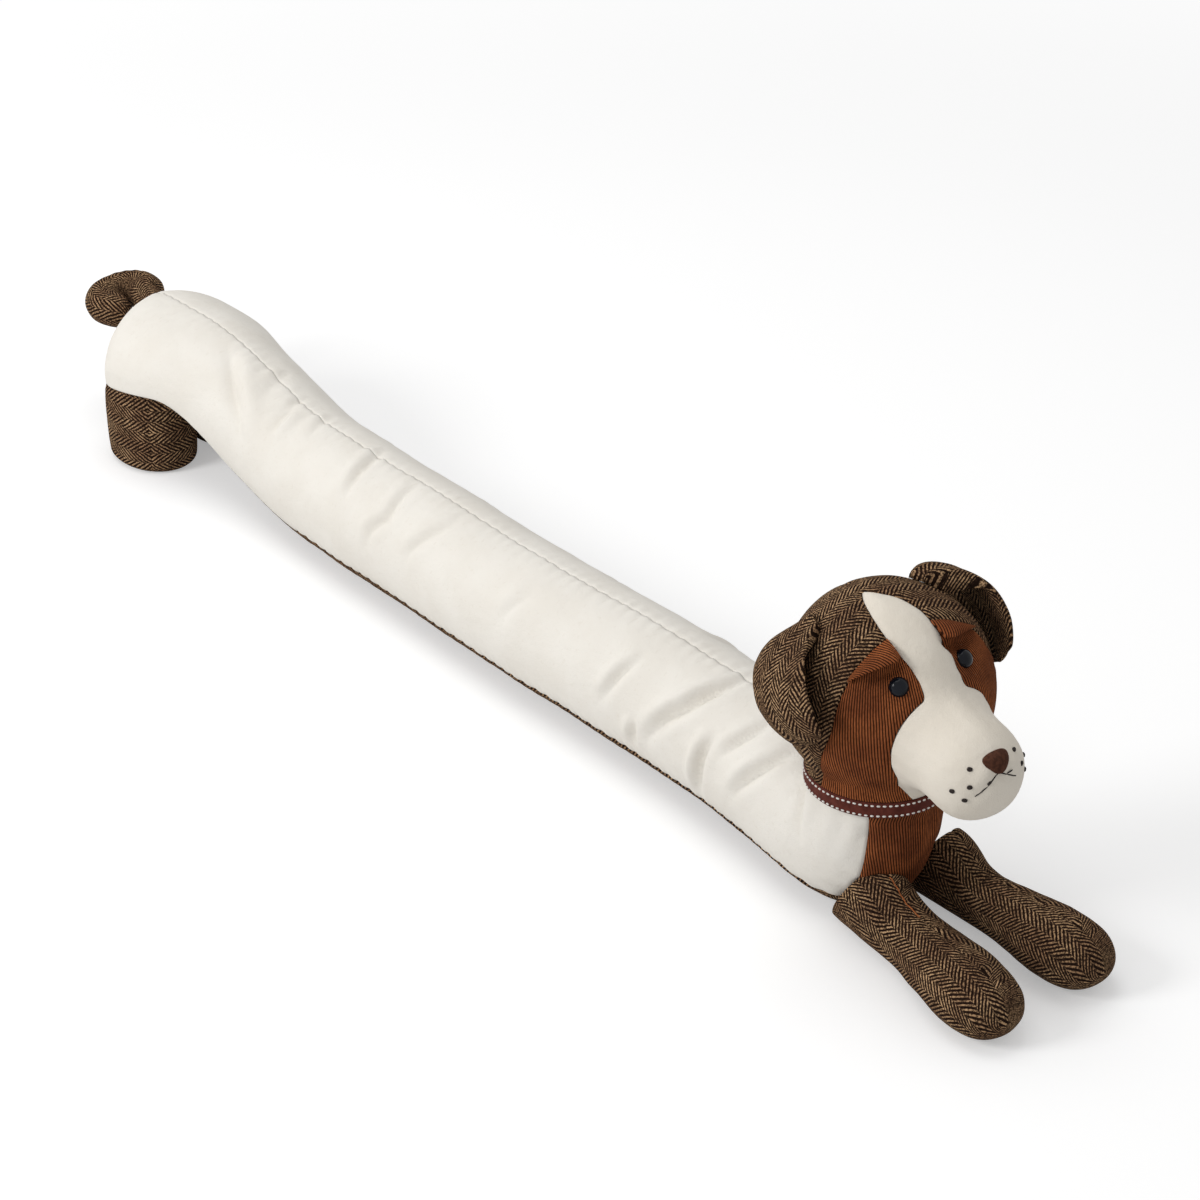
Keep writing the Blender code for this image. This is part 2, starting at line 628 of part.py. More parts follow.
def head_surface(directions):
    """Points of the head's surface and its outward normals."""
    directions = unit(directions)
    points = directions * head_radius(directions)[..., None]
    helper = np.where(np.abs(directions[..., 2:3]) < 0.9, (0.0, 0.0, 1.0), (1.0, 0.0, 0.0))
    first = unit(np.cross(directions, helper))
    second = np.cross(directions, first)
    ahead = unit(directions + first * SLOPE_STEP)
    beside = unit(directions + second * SLOPE_STEP)
    back = unit(directions - first * SLOPE_STEP)
    other = unit(directions - second * SLOPE_STEP)
    run = ahead * head_radius(ahead)[..., None] - back * head_radius(back)[..., None]
    rise = beside * head_radius(beside)[..., None] - other * head_radius(other)[..., None]
    normals = unit(np.cross(run, rise))
    outward = np.sign(np.sum(normals * directions, axis=-1, keepdims=True))
    return points, normals * outward


def brow_shape(points):
    """Height of the brow fold: a ridge with a tuck just below it, over each eye."""
    side = np.abs(points[..., 1])
    inner_y = BLAZE_HALF_WIDTH
    share = (side - inner_y) / (BROW_OUTER_Y - inner_y)
    line = BROW_INNER_Z + (BROW_OUTER_Z - BROW_INNER_Z) * share
    window = smoothstep(-BROW_FADE, BROW_FADE, share)
    window = window * (1.0 - smoothstep(1.0 - BROW_FADE, 1.0 + BROW_FADE, share))
    window = window * (points[..., 0] > 0.0)
    ridge = np.exp(-((points[..., 2] - line - BROW_WIDTH * BROW_RIDGE_RISE) / BROW_WIDTH) ** 2)
    tuck = np.exp(-((points[..., 2] - line + BROW_WIDTH) / BROW_WIDTH) ** 2)
    return window * (BROW_HEIGHT * ridge - BROW_TUCK * tuck)


def skull_mesh():
    """Triangles of a ball, crowded towards the muzzle, as directions."""
    work = bmesh.new()
    bmesh.ops.create_icosphere(work, subdivisions=SKULL_SUBDIVISIONS, radius=1.0)
    directions = np.array([vertex.co[:] for vertex in work.verts])
    triangles = [tuple(vertex.index for vertex in face.verts) for face in work.faces]
    work.free()
    directions[:, 0] += FRONT_CROWDING
    return unit(directions), triangles


def cut_skin(skin, values, limit):
    """Keeps the side of a skin where a value lies above a limit."""
    points, normals, triangles = skin
    values = np.asarray(values) - limit
    new_points = list(points)
    new_normals = list(normals)
    made = {}

    def crossing(a, b):
        key = (min(a, b), max(a, b))
        if key not in made:
            low, high = key
            share = values[low] / (values[low] - values[high])
            share = min(max(share, CUT_MARGIN), 1.0 - CUT_MARGIN)
            new_points.append(points[low] + (points[high] - points[low]) * share)
            new_normals.append(unit(normals[low] + (normals[high] - normals[low]) * share))
            made[key] = len(new_points) - 1
        return made[key]

    kept = []
    for triangle in triangles:
        inside = [values[index] > 0.0 for index in triangle]
        if all(inside):
            kept.append(triangle)
        elif any(inside):
            lone = inside.index(sum(inside) == 1)
            a, b, c = (triangle[(lone + turn) % 3] for turn in range(3))
            if sum(inside) == 1:
                kept.append((a, crossing(a, b), crossing(a, c)))
            else:
                kept.append((b, c, crossing(a, c)))
                kept.append((b, crossing(a, c), crossing(a, b)))
    used = sorted({index for triangle in kept for index in triangle})
    place = {old: new for new, old in enumerate(used)}
    kept = [tuple(place[index] for index in triangle) for triangle in kept]
    return np.array(new_points)[used], np.array(new_normals)[used], kept


def boundary_edges(triangles):
    directed = set()
    for a, b, c in triangles:
        directed.update(((a, b), (b, c), (c, a)))
    return [(a, b) for a, b in directed if (b, a) not in directed]


def skin_object(name, skin, material, raised=None):
    """A closed panel: the skin and a copy of it one cloth below."""
    points, normals, triangles = skin
    outer = points
    if raised is not None:
        outer = points + normals * raised(points)[:, None]
    inner = points - normals * CLOTH
    count = len(points)
    faces = list(triangles)
    faces += [(c + count, b + count, a + count) for a, b, c in triangles]
    for a, b in boundary_edges(triangles):
        faces.append((a, a + count, b + count))
        faces.append((a, b + count, b))
    return add_object(name, head_to_world(np.concatenate([outer, inner])), faces, material)


def neck_plane_distance(points):
    """How far points of the head lie above the neck seam."""
    axis = np.array([sin(NECK_TILT) * cos(BEND_ANGLE), sin(NECK_TILT) * sin(BEND_ANGLE),
                     cos(NECK_TILT)])
    middle = bend(np.array([NECK_X, 0.0, NECK_Z]))
    return (head_to_world(points) - middle) @ axis


def muzzle_field(points):
    """Positive inside the cream cloth: the muzzle, the chin and the blaze over the forehead."""
    centre = unit(np.array([MUZZLE_REACH, 0.0, -MUZZLE_DROP]))
    across = points - np.outer(points @ centre, centre)
    across[:, 2] += MUZZLE_SEAM_DROP
    muzzle = MUZZLE_SEAM_RADIUS - np.linalg.norm(across, axis=1)
    chin = np.minimum(CHIN_HALF_WIDTH - np.abs(points[:, 1]), -MUZZLE_DROP - points[:, 2])
    muzzle = np.where(points[:, 0] > 0.0, np.maximum(muzzle, chin), -HEAD_RADIUS)
    behind = points[:, 0] - BLAZE_TIP_X
    length = np.clip(behind / (BLAZE_WIDE_X - BLAZE_TIP_X), 0.0, 1.0)
    half_width = BLAZE_HALF_WIDTH * np.sin(pi / 2.0 * length)
    half_width = half_width - BLAZE_NARROW * smoothstep(BLAZE_WIDE_X, BLAZE_NARROW_X, points[:, 0])
    blaze = half_width - np.abs(points[:, 1])
    blaze = np.where((points[:, 2] > 0.0) & (behind > 0.0), blaze, -HEAD_RADIUS)
    blaze = np.where(behind <= 0.0, np.minimum(-np.abs(points[:, 1]), behind), blaze)
    near = np.maximum(MUZZLE_SEAM_BLEND - np.abs(muzzle - blaze), 0.0) / MUZZLE_SEAM_BLEND
    return np.maximum(muzzle, blaze) + near * near * MUZZLE_SEAM_BLEND / 4.0


def cheek_field(points):
    """Positive ahead of the seam between the crown and the cheeks."""
    sweep_back = CHEEK_SEAM_SWEEP * smoothstep(CHEEK_SWEEP_TOP, CHEEK_SWEEP_FOOT, points[:, 2])
    return points[:, 0] - (CHEEK_SEAM_X - sweep_back)


def make_head(materials):
    directions, triangles = skull_mesh()
    points, normals = head_surface(directions)
    skin = (points, normals, triangles)
    seat = GAP / 2.0
    whole = cut_skin(skin, neck_plane_distance(points), seat)
    muzzle = cut_skin(whole, muzzle_field(whole[0]), seat)
    skin_object("muzzle_panel", muzzle, materials["cream"])
    rest = cut_skin(whole, -muzzle_field(whole[0]), seat)
    cheeks = cut_skin(rest, cheek_field(rest[0]), seat)
    crown = cut_skin(rest, -cheek_field(rest[0]), seat)
    skin_object("head_crown", crown, materials["tweed"])
    right = cut_skin(cheeks, -cheeks[0][:, 1], seat)
    left = cut_skin(cheeks, cheeks[0][:, 1], seat)
    skin_object("cheek_right", right, materials["corduroy"], brow_shape)
    skin_object("cheek_left", left, materials["corduroy"], brow_shape)
    filling_points = points - normals * (CLOTH + FILLING_GAP)
    filling = (filling_points, normals, triangles)
    filling = cut_skin(filling, neck_plane_distance(filling_points), seat)
    points, normals, triangles = filling
    rim = boundary_edges(triangles)
    centre = points[[a for a, b in rim]].mean(axis=0)
    faces = list(triangles) + [(b, a, len(points)) for a, b in rim]
    world = head_to_world(np.concatenate([points, [centre]]))
    add_object("head_filling", world, faces, materials["wadding"])


def head_pad(name, centre, outline, height, rings, sides, material, raised=None):
    """A domed pad on the head: outline gives its reach for each turn round the centre."""
    centre = np.array(centre, float)
    point, normal = head_surface(centre[None, :])
    point, normal = point[0], normal[0]
    across = unit(np.cross((0.0, 0.0, 1.0), normal))
    upward = np.cross(normal, across)
    backs = []
    fronts = []
    for ring in range(1, rings + 1):
        share = sin(pi / 2.0 * ring / rings)
        for side in range(sides):
            turn = 2.0 * pi * side / sides
            reach = outline(turn) * share
            target = point + across * reach * cos(turn) + upward * reach * sin(turn)
            place, facing = head_surface(target[None, :])
            lift = raised(place)[0] if raised else 0.0
            place, facing = place[0], facing[0]
            base = place + facing * (GAP + max(lift, 0.0))
            backs.append(base)
            fronts.append(base + normal * height * max(PAD_RIM, sqrt(1.0 - share * share)))
    lift = max(raised(point[None, :])[0], 0.0) if raised else 0.0
    base = point + normal * (GAP + lift)
    count = rings * sides
    points = backs + fronts + [base, base + normal * height]
    faces = grid_triangles(rings, sides, closed=True)
    faces += [(a + count, b + count, c + count) for a, b, c in faces]
    for side in range(sides):
        after = (side + 1) % sides
        faces.append((side, after, 2 * count))
        faces.append((side + count, after + count, 2 * count + 1))
        low = (rings - 1) * sides
        faces.append((low + side, low + after, low + after + count))
        faces.append((low + side, low + after + count, low + side + count))
    return add_object(name, head_to_world(points), faces, material)


def nose_outline(turn):
    """A rounded triangle, wide above and narrow below."""
    narrow = 1.0 - NOSE_NARROWING * max(0.0, -sin(turn)) * abs(cos(turn))
    across = NOSE_WIDTH / 2.0
    along = NOSE_LENGTH / 2.0
    return narrow * across * along / sqrt((along * cos(turn)) ** 2 + (across * sin(turn)) ** 2)


def eye_outline(turn):
    return EYE_RADIUS


def whisker_outline(turn):
    return WHISKER_RADIUS


def make_face(materials):
    for name, side in (("eye_right", -1.0), ("eye_left", 1.0)):
        head_pad(name, (EYE_X, side * EYE_Y, EYE_Z), eye_outline, EYE_HEIGHT, PAD_RINGS, PAD_SIDES,
                 materials["eye"], brow_shape)
    nose_forward = MUZZLE_REACH + MUZZLE_RADIUS * NOSE_FORWARD
    head_pad("nose", (nose_forward, NOSE_Y, NOSE_Z), nose_outline, NOSE_HEIGHT, PAD_RINGS,
             PAD_SIDES, materials["nose"])
    for word, side in (("right", -1.0), ("left", 1.0)):
        for number, (across, above) in enumerate(WHISKER_SPOTS, 1):
            forward = sqrt(MUZZLE_RADIUS ** 2 - across ** 2 - above ** 2)
            centre = (MUZZLE_REACH + forward, side * across, above - MUZZLE_DROP)
            head_pad(f"whisker_{word}_{number}", centre, whisker_outline, WHISKER_HEIGHT, 1,
                     KNOT_SIDES, materials["thread"])
    path = []
    for across, above in MOUTH_STOPS:
        forward = sqrt(MUZZLE_RADIUS ** 2 - across ** 2 - above ** 2)
        point = (MUZZLE_REACH + forward, across, above - MUZZLE_DROP)
        place, facing = head_surface(np.array([point]))
        path.append(place[0] + facing[0] * (GAP + MOUTH_THREAD_RADIUS * MOUTH_THREAD_LIFT))
    radii = [MOUTH_THREAD_RADIUS] * len(path)
    world = head_to_world(path)
    tube_object("mouth_thread", sweep(world, radii, THREAD_SIDES), materials["thread"])


# Ears

def make_ear(name, side, arch_lift, peak, material):
    stops = np.linspace(0.0, 1.0, len(EAR_FRONT_EDGE))
    outer = []
    inner = []
    for row in range(EAR_LONG_STEPS + 1):
        share = row / EAR_LONG_STEPS
        front = np.interp(share, stops, EAR_FRONT_EDGE)
        back = np.interp(share, stops, EAR_BACK_EDGE)
        rise = EAR_ROOT_RISE + (EAR_TIP_RISE - EAR_ROOT_RISE) * share
        lift = arch_lift * sin(pi * share ** (log(0.5) / log(peak))) + EAR_TIP_LIFT * share
        outer_row = []
        inner_row = []
        for column in range(EAR_WIDE_STEPS + 1):
            across = -1.0 + 2.0 * column / EAR_WIDE_STEPS
            turn = ((front + back) / 2.0 + (front - back) / 2.0 * across) * side
            tilt = rise + EAR_DROOP * across * share
            direction = np.array([[cos(tilt) * cos(turn), cos(tilt) * sin(turn), sin(tilt)]])
            place, facing = head_surface(direction)
            edge = EAR_THICKNESS * (1.0 - EAR_EDGE_THINNING * across ** EAR_EDGE_POWER)
            height = GAP + lift * (1.0 - across * across / EAR_ARCH_FALL)
            inner_row.append(place[0] + facing[0] * height)
            outer_row.append(place[0] + facing[0] * (height + edge))
        outer.append(outer_row)
        inner.append(inner_row)
    return panel_object(name, head_to_world(np.array(outer)), head_to_world(np.array(inner)),
                        material)


# Collar

def make_collar(material):
    axis, nape, throat = neck_points()
    angles = np.linspace(-pi, pi, COLLAR_SIDES + 1)[:-1]
    loops = []
    for drop, inset in ((COLLAR_DROP, -GAP), (COLLAR_DROP + COLLAR_WIDTH, -GAP),
                        (COLLAR_DROP + COLLAR_WIDTH, -GAP - COLLAR_THICKNESS),
                        (COLLAR_DROP, -GAP - COLLAR_THICKNESS)):
        loops.append(section(nape - axis * drop, throat - axis * drop, NECK_RADIUS, 0.0,
                             angles, inset))
    points = bend(np.array(loops)).reshape(-1, 3)
    faces = grid_triangles(len(loops), COLLAR_SIDES, closed=True)
    last = (len(loops) - 1) * COLLAR_SIDES
    for column in range(COLLAR_SIDES):
        after = (column + 1) % COLLAR_SIDES
        faces.append((last + column, last + after, after))
        faces.append((last + column, after, column))
    return add_object("collar_ribbon", points, faces, material)


def main():
    for item in list(bpy.data.objects):
        bpy.data.objects.remove(item, do_unlink=True)
    materials = {
        "cream": make_material("cream_calico", CREAM),
        "tweed": make_material("brown_tweed", TWEED),
        "corduroy": make_material("rust_corduroy", CORDUROY),
        "wadding": make_material("white_wadding", WADDING),
        "ribbon": make_material("collar_ribbon", RIBBON),
        "nose": make_material("nose_cloth", NOSE_CLOTH),
        "eye": make_material("black_plastic", EYE_PLASTIC),
        "thread": make_material("black_thread", THREAD),
    }
    envelope = make_body(materials)
    rear_leg("rear_leg_right", -REAR_LEG_SPACING / 2.0, envelope, materials["tweed"])
    rear_leg("rear_leg_left", REAR_LEG_SPACING / 2.0, envelope, materials["tweed"])
    front_leg("front_leg_right", RIGHT_LEG_Y, RIGHT_LEG_ANGLE, envelope, materials["tweed"])
    front_leg("front_leg_left", LEFT_LEG_Y, LEFT_LEG_ANGLE, envelope, materials["tweed"])
    make_tail(envelope, materials["tweed"])
    make_head(materials)
    make_face(materials)
    make_ear("ear_right", -1.0, EAR_RIGHT_LIFT, EAR_RIGHT_PEAK, materials["tweed"])
    make_ear("ear_left", 1.0, EAR_LEFT_LIFT, EAR_LEFT_PEAK, materials["tweed"])
    make_collar(materials["ribbon"])


main()
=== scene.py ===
# Looks of the dog draught excluder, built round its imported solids.
# Units are metres, +X points to the head and +Z is up, as in the solids.

import bpy
import bmesh
import numpy as np
from math import cos, log, pi, radians, sin, sqrt, tan
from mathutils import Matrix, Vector, noise


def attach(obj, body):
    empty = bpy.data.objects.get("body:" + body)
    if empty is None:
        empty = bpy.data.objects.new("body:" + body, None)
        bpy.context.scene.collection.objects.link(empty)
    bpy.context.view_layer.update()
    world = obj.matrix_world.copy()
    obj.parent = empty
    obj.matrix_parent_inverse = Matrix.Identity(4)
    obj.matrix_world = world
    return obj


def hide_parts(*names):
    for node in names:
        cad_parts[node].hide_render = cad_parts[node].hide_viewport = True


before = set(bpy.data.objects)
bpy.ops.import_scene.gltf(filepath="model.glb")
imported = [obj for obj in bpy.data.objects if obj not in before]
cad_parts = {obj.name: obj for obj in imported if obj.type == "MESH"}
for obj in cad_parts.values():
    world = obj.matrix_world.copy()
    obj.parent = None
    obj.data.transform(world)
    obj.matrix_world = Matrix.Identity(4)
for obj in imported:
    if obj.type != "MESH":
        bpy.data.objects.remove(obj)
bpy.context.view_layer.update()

SIDES = ("right", -1.0), ("left", 1.0)  # of the dog: its right lies along -Y

# Clearance and cloth
GAP = 0.0003                    # between pieces that touch
FILLING_GAP = 0.0005            # between the cloth and the filling inside it
CLOTH = 0.0025                  # a cloth panel with its fleece backing
SKIN = 0.0012                   # thickness of the cloth that is shown
SEAM_GAP = 0.0003               # between the two sides of a seam
PANEL_GAP = 0.0001              # along the body, where the seams are sewn tight

# Body tube
BODY_HALF_WIDTH = 0.0452
BODY_HEIGHT = 0.0912
FLOOR_PRESS = 0.0022            # how far the floor flattens the round tube
SHOULDER_TOP_X = 0.3180         # where the back starts to rise into the neck
SHOULDER_BASE_X = 0.3620        # where the belly starts to rise into the chest
BASE_SEAM_ANGLE = radians(58)   # from straight down to the seam of the base panel
WADDING_INSET = 0.09            # of the body's wadding, as a share of its radius
BODY_LUMP = 0.0011              # height of the broad lumps
BODY_RIPPLE = 0.00045           # and of the finer ones
BODY_LIFT = 0.0005, 0.0060      # heights between which the cloth comes clear of the floor

# Hindquarters
HIP_X = -0.4000
HIP_HALF_WIDTH = 0.0628
HIP_TAPER_X = -0.2900           # where the hips have narrowed to the tube
HIP_TOP = 0.1190
HIP_BOTTOM = 0.0100             # lowest point of the oval that the hips are drawn from
HIP_SEAM_ANGLE = radians(82)
HIP_CALM = 0.0120               # the cloth lies plain this near to the hips' lower seam
REAR_REACH = 0.0490             # from the middle of the hips to the back end
REAR_SQUARENESS = 3.1           # of the back end from the side: 2 is an ellipse
REAR_POLE_HEIGHT = 0.0670       # height of the rearmost point
REAR_POLE_RATIO = 0.05          # the covers meet there in a small gathered hole
RISE_FRONT_X = -0.1900          # where the belly leaves the floor
RISE_REAR_X = -0.3560           # where it reaches the hind legs
BELLY_RISE = 0.0260             # of the oval's lowest point there
HIP_FLOOR_SLOPE = 0.12          # the hips rest higher on the fronts of the legs
REAR_BOW = 0.0028               # the slack body bows to the dog's left, ahead of the hips
REAR_BOW_X = -0.2900
FRONT_BOW = 0.0030              # and again behind the shoulders
FRONT_BOW_X = 0.2000
BOW_REACH = 0.1500              # half the length of each bow

# Hind legs
REAR_LEG_HEIGHT = 0.0630
REAR_LEG_LENGTH = 0.0790        # from its front to its back
REAR_LEG_WIDTH = 0.0620
REAR_LEG_SPACING = 0.0670       # between the middles of the two hind legs
REAR_LEG_X = -0.3960
REAR_LEG_EDGE = 0.0070          # rounding under the foot
REAR_LEG_SINK = 0.0060          # how far the leg stump is drawn up into the hips
REAR_LEG_BULGE = 0.00098        # most that the leg swells in front and behind
REAR_LEG_SIDE_BULGE = 0.00035   # and at its sides
REAR_LEG_BULGE_END = 0.75       # share of its height over which it swells
REAR_LEG_TUCK = 0.0049          # how far its top is drawn in, under the hips
REAR_WEAVE = 0.92, 0.72         # the weave shows larger there, across and along its columns
REAR_SEAM_COLUMN = 71           # of 80 round a hind leg: its side seam faces out and ahead

# Tail
TAIL_HEIGHT = 0.0970
TAIL_RADIUS = 0.0125
TAIL_CURL_RADIUS = 0.0175
TAIL_CURL_X = -0.4795
TAIL_CURL_Y = -0.0010
TAIL_DIP = 0.0040               # the curl hangs lower on the dog's right
TAIL_CURL_START = radians(38)
TAIL_TUCK_END = radians(346)    # where the curl ends, tucked in against the hips
TAIL_TUCK = 0.0060              # how far the tip passes under the root
TAIL_SWELL = 1.10               # fullness of the curl
TAIL_TIP_START = 0.86           # share of the curl where its tip starts to round off
TAIL_ROOT = ((0.0, 0.80), (0.25, 0.85), (0.5, 0.90), (0.75, 0.96))  # places and thickness

# Bend of the front end towards the dog's right
BEND_START_X = 0.2500
BEND_END_X = 0.3400
BEND_ANGLE = radians(-8)

# Neck and collar
NECK_RADIUS = 0.0415
NECK_TILT = radians(-1)
NECK_X = 0.3880
NECK_Z = 0.1030
NAPE_REACH = 0.0140             # how gradually the back turns up into the nape
NAPE_DROP = 0.0080
BELLY_REACH = 0.0520            # how gradually the belly turns up into the throat
THROAT_DROP = 0.0340
NECK_LENGTH = 0.0160
CHEST_HALF_WIDTH = 0.0385
CHEST_SEAM_ANGLE = radians(54)
CHEST_TIP_ANGLE = radians(36)
CHEST_TURN = radians(9)         # the panel sits round towards the dog's left
CHEST_TIP_SHARE = 0.35          # how far up the chest the panel is narrow
CHEST_SPREAD_SHARE = 0.20       # where it starts to widen again
GATHER_COUNT = 17               # small gathers round the neck
GATHER_DEPTH = 0.0009
GATHER_REACH = 0.030
GATHER_CALM = 0.010, 0.020      # distances below the collar over which the cloth loosens
NECK_REACH = 0.0432             # radius of the head's foot above the collar
NECK_BLEND = 0.0180             # height over which the head spreads to it
COLLAR_WIDTH = 0.0100
COLLAR_THICKNESS = 0.0014
COLLAR_DROP = 0.0006            # from the neck seam down to the ribbon
# Section of the ribbon, in shares of its width and its thickness
RIBBON_PROFILE = ((0.0, 0.0), (0.5, 0.0), (1.0, 0.0), (1.02, 0.5), (0.97, 1.0), (0.75, 1.12),
                  (0.5, 1.16), (0.25, 1.12), (0.03, 1.0), (-0.02, 0.5))
RIBBON_CROWN = 1.08             # thickness under the stitches, against the plain one
RIBBON_RIB_PITCH = 0.0008

# Front legs
FRONT_LEG_LENGTH = 0.1540
FRONT_ROOT_WIDTH = 0.0380
FRONT_LEG_WIDTH = 0.0300        # at the waist, ahead of the root
FRONT_PAW_WIDTH = 0.0490
PAW_START = 0.42                # where along the leg it widens into the paw
PAW_END = 0.80
SHOULDER_END = 0.42             # and where it has narrowed from its root
PAW_TIP_START = 0.80            # where the paw starts to round off
PAW_SQUARENESS = 2.2            # of its tip: 2 is an ellipse
LEG_MIDDLE = 0.48               # height of the sections' middles, as a share
TIP_LEAST = 0.06                # the last ring of the paw, as a share
FRONT_LEG_HEIGHT = 0.0370
FRONT_PAW_HEIGHT = 0.0390
SHOULDER_HEIGHT = 0.0500
FRONT_LEG_X = 0.3830
SHOULDER_LEAN = 0.0290          # how far the top of the leg's seam lies ahead of its foot
RIGHT_LEG_Y = -0.0270
RIGHT_LEG_ANGLE = radians(-8)
LEFT_LEG_Y = 0.0270
LEFT_LEG_ANGLE = radians(0.5)
NEAR_LEG_FULLER = 0.0090        # the near front leg is fuller between its root and its paw
NEAR_LEG_SHIFT = 0.0022         # and its middle lies this much to the left there
NEAR_LEG_FULL_END = 0.85        # how far along it is fuller
SEAM_THREAD_ROWS = (6, 34)      # rings of the leg along which the orange thread shows
SEAM_THREAD_RADIUS = 0.0004

# Lumps and the seam of a stuffed leg or tail
LEG_LUMP = 0.0010
TAIL_LUMP = 0.0009
LEG_SEAM_DEPTH = 0.0009
LEG_SEAM_WIDTH = 0.0013
LEG_PUCKER = 0.0004
LEG_PUCKER_REACH = 0.006
LEG_LIFT = 0.0003, 0.0040       # heights between which the cloth comes clear of the floor

# Head
HEAD_X = 0.3846
HEAD_Y = -0.0070
HEAD_Z = 0.1515
HEAD_RADIUS = 0.0635
HEAD_TURN = radians(-9.5)
HEAD_ROLL = radians(7)
MUZZLE_REACH = 0.0842
MUZZLE_DROP = 0.0072
MUZZLE_RADIUS = 0.0285
MUZZLE_BLEND = 0.0200           # softens the corner between the skull and the muzzle
CHEEK_SEAM_X = 0.0285           # the seam of the crown lies this far ahead of the head's middle
CHEEK_SEAM_SWEEP = 0.0200       # how far the seam swings back down to the neck
CHEEK_SWEEP_TOP = 0.0150        # heights between which it does so
CHEEK_SWEEP_FOOT = -0.0450
MUZZLE_SEAM_RADIUS = 0.0346
MUZZLE_SEAM_DROP = 0.0005       # the cream reaches further below the muzzle than above it
MUZZLE_SEAM_BLEND = 0.0030      # softens the corner between the muzzle's seam and the blaze
BLAZE_TIP_X = -0.0110
# The blaze from its tip to the muzzle: places along the head, half widths, and how far
# its middle lies to the dog's left
BLAZE_PLACES = (-0.0110, -0.0080, -0.0030, 0.0045, 0.0110, 0.0200, 0.0300, 0.0386, 0.0461,
                0.0520, 0.0570)
BLAZE_HALF_WIDTHS = (0.0, 0.0024, 0.0055, 0.0090, 0.0118, 0.0144, 0.0150, 0.0148, 0.0141,
                     0.0134, 0.0136)
BLAZE_MIDDLES = (-0.0048, -0.0046, -0.0041, -0.0030, -0.0017, -0.0002, 0.0004, 0.0017, 0.0029,
                 0.0033, 0.0031)
# The cream cloth under the chin, from the neck up
CHIN_HEIGHTS = (-0.0470, -0.0423, -0.0329, -0.0200)
CHIN_HALF_WIDTHS = (0.0150, 0.0192, 0.0262, 0.0308)
CROWN_SPLIT_X = -0.0310         # behind it the crown's columns run up the back of the head
HEAD_LUMP = 0.0013
HEAD_RIPPLE = 0.0005
MUZZLE_RISE = 0.0012            # the cream cloth stands this much proud of its seam
MUZZLE_RISE_REACH = 0.012
HEAD_CALM = 0.004               # the relief fades out this near to the neck

# Face
EYE_X = 0.0478
EYE_Y = 0.0232
EYE_Z = 0.0354
EYE_SHIFT = 0.0018              # both eyes sit a little to the dog's left
EYE_RADIUS = 0.0058
EYE_HEIGHT = 0.0046
EYE_DIMPLE = 0.0015             # how far each eye draws the cheek in
EYE_DIMPLE_REACH = 0.0085
NOSE_Y = 0.0015                 # the whole face sits a little to the left of the muzzle
NOSE_Z = 0.0112
NOSE_HEIGHT = 0.0034
NOSE_HALF_WIDTH = 0.0081
NOSE_HALF_HEIGHT = 0.0066
NOSE_TAPER = 0.34               # how much narrower it is below than above
NOSE_SHIFT = 0.0010             # the nose lies this much further right than in the solids
NOSE_SINK = 0.0030              # and this much lower
NOSE_FORWARD = MUZZLE_REACH + MUZZLE_RADIUS * 0.70
PAD_SINK = 0.0004               # of the eyes and the nose into the cloth
PAD_FOOT = 0.0012               # how far their rims reach in behind it
# Fold of the cheek's cloth over each eye, from the blaze outwards: points of its sewn edge
# and of its free edge, with how far the free edge stands off the cheek
BROW_SEAM = ((0.0282, 0.0146, 0.0551), (0.0282, 0.0175, 0.0543), (0.0282, 0.0240, 0.0520),
             (0.0282, 0.0320, 0.0474), (0.0275, 0.0408, 0.0400))
BROW_FOOT = ((0.0402, 0.0146, 0.0480), (0.0406, 0.0176, 0.0452), (0.0372, 0.0248, 0.0428),
             (0.0335, 0.0325, 0.0402), (0.0285, 0.0420, 0.0370))
BROW_RISES = (0.0024, 0.0068, 0.0062, 0.0046, 0.0014)
BROW_FOLD = 0.0021              # thickness of the doubled cloth at the free edge
BROW_CLOTH = 0.0006             # and at its seam
BROW_EDGE_START = 0.80          # share of its width where the free edge starts to round off
BROW_TUCK = 0.0010              # how far the sewn edge is tucked in
BROW_HOLLOW = 0.0042            # depth of the hollow under the fold
BROW_HOLLOW_DROP = 0.0012       # its middle lies this far below the free edge
BROW_HOLLOW_REACH = 0.0024
LIP_PLACE = 0.0082, 0.0112      # the stuffing puffs out on both sides, below the nose
LIP_RISE = 0.0013
LIP_REACH = 0.0056
MOUTH_DEPTH = 0.0015            # of the groove that the mouth's thread pulls in
MOUTH_WIDTH = 0.0022
MOUTH_LINE_RADIUS = 0.00040
# Stitches of the face, as distances to the left of the muzzle's middle and above it
WHISKER_SPOTS = ((0.0144, 0.0155), (0.0169, 0.0068), (0.0196, -0.0008), (0.0236, 0.0036))
MOUTH_STOPS = ((0.0112, 0.0033), (0.0085, 0.0052), (0.0058, 0.0071), (0.0024, 0.0094),
               (-0.0006, 0.0112), (-0.0032, 0.0102), (-0.0052, 0.0087), (-0.0076, 0.0068),
               (-0.0104, 0.0044), (-0.0133, 0.0022), (-0.0158, 0.0005))
CROSS_STITCHES = (((0.0036, 0.0088), (0.0068, 0.0097)), ((-0.0086, 0.0068), (-0.0064, 0.0084)))
CROSS_RADII = (0.00042, 0.00085)    # the stitch on the near side is the thicker one
MOUTH_LIFT = 0.0002             # from the cloth to the middle of the mouth's thread
CROSS_LIFT = 0.0005             # and to the middle of the cross stitches
FAR_KNOT_SHIFT = 0.0014         # the last two far knots lie this much further out
KNOT_REACH = 0.0011             # radius of a knot's coil
KNOT_THREAD = 0.00048
KNOT_COILS = 2.4

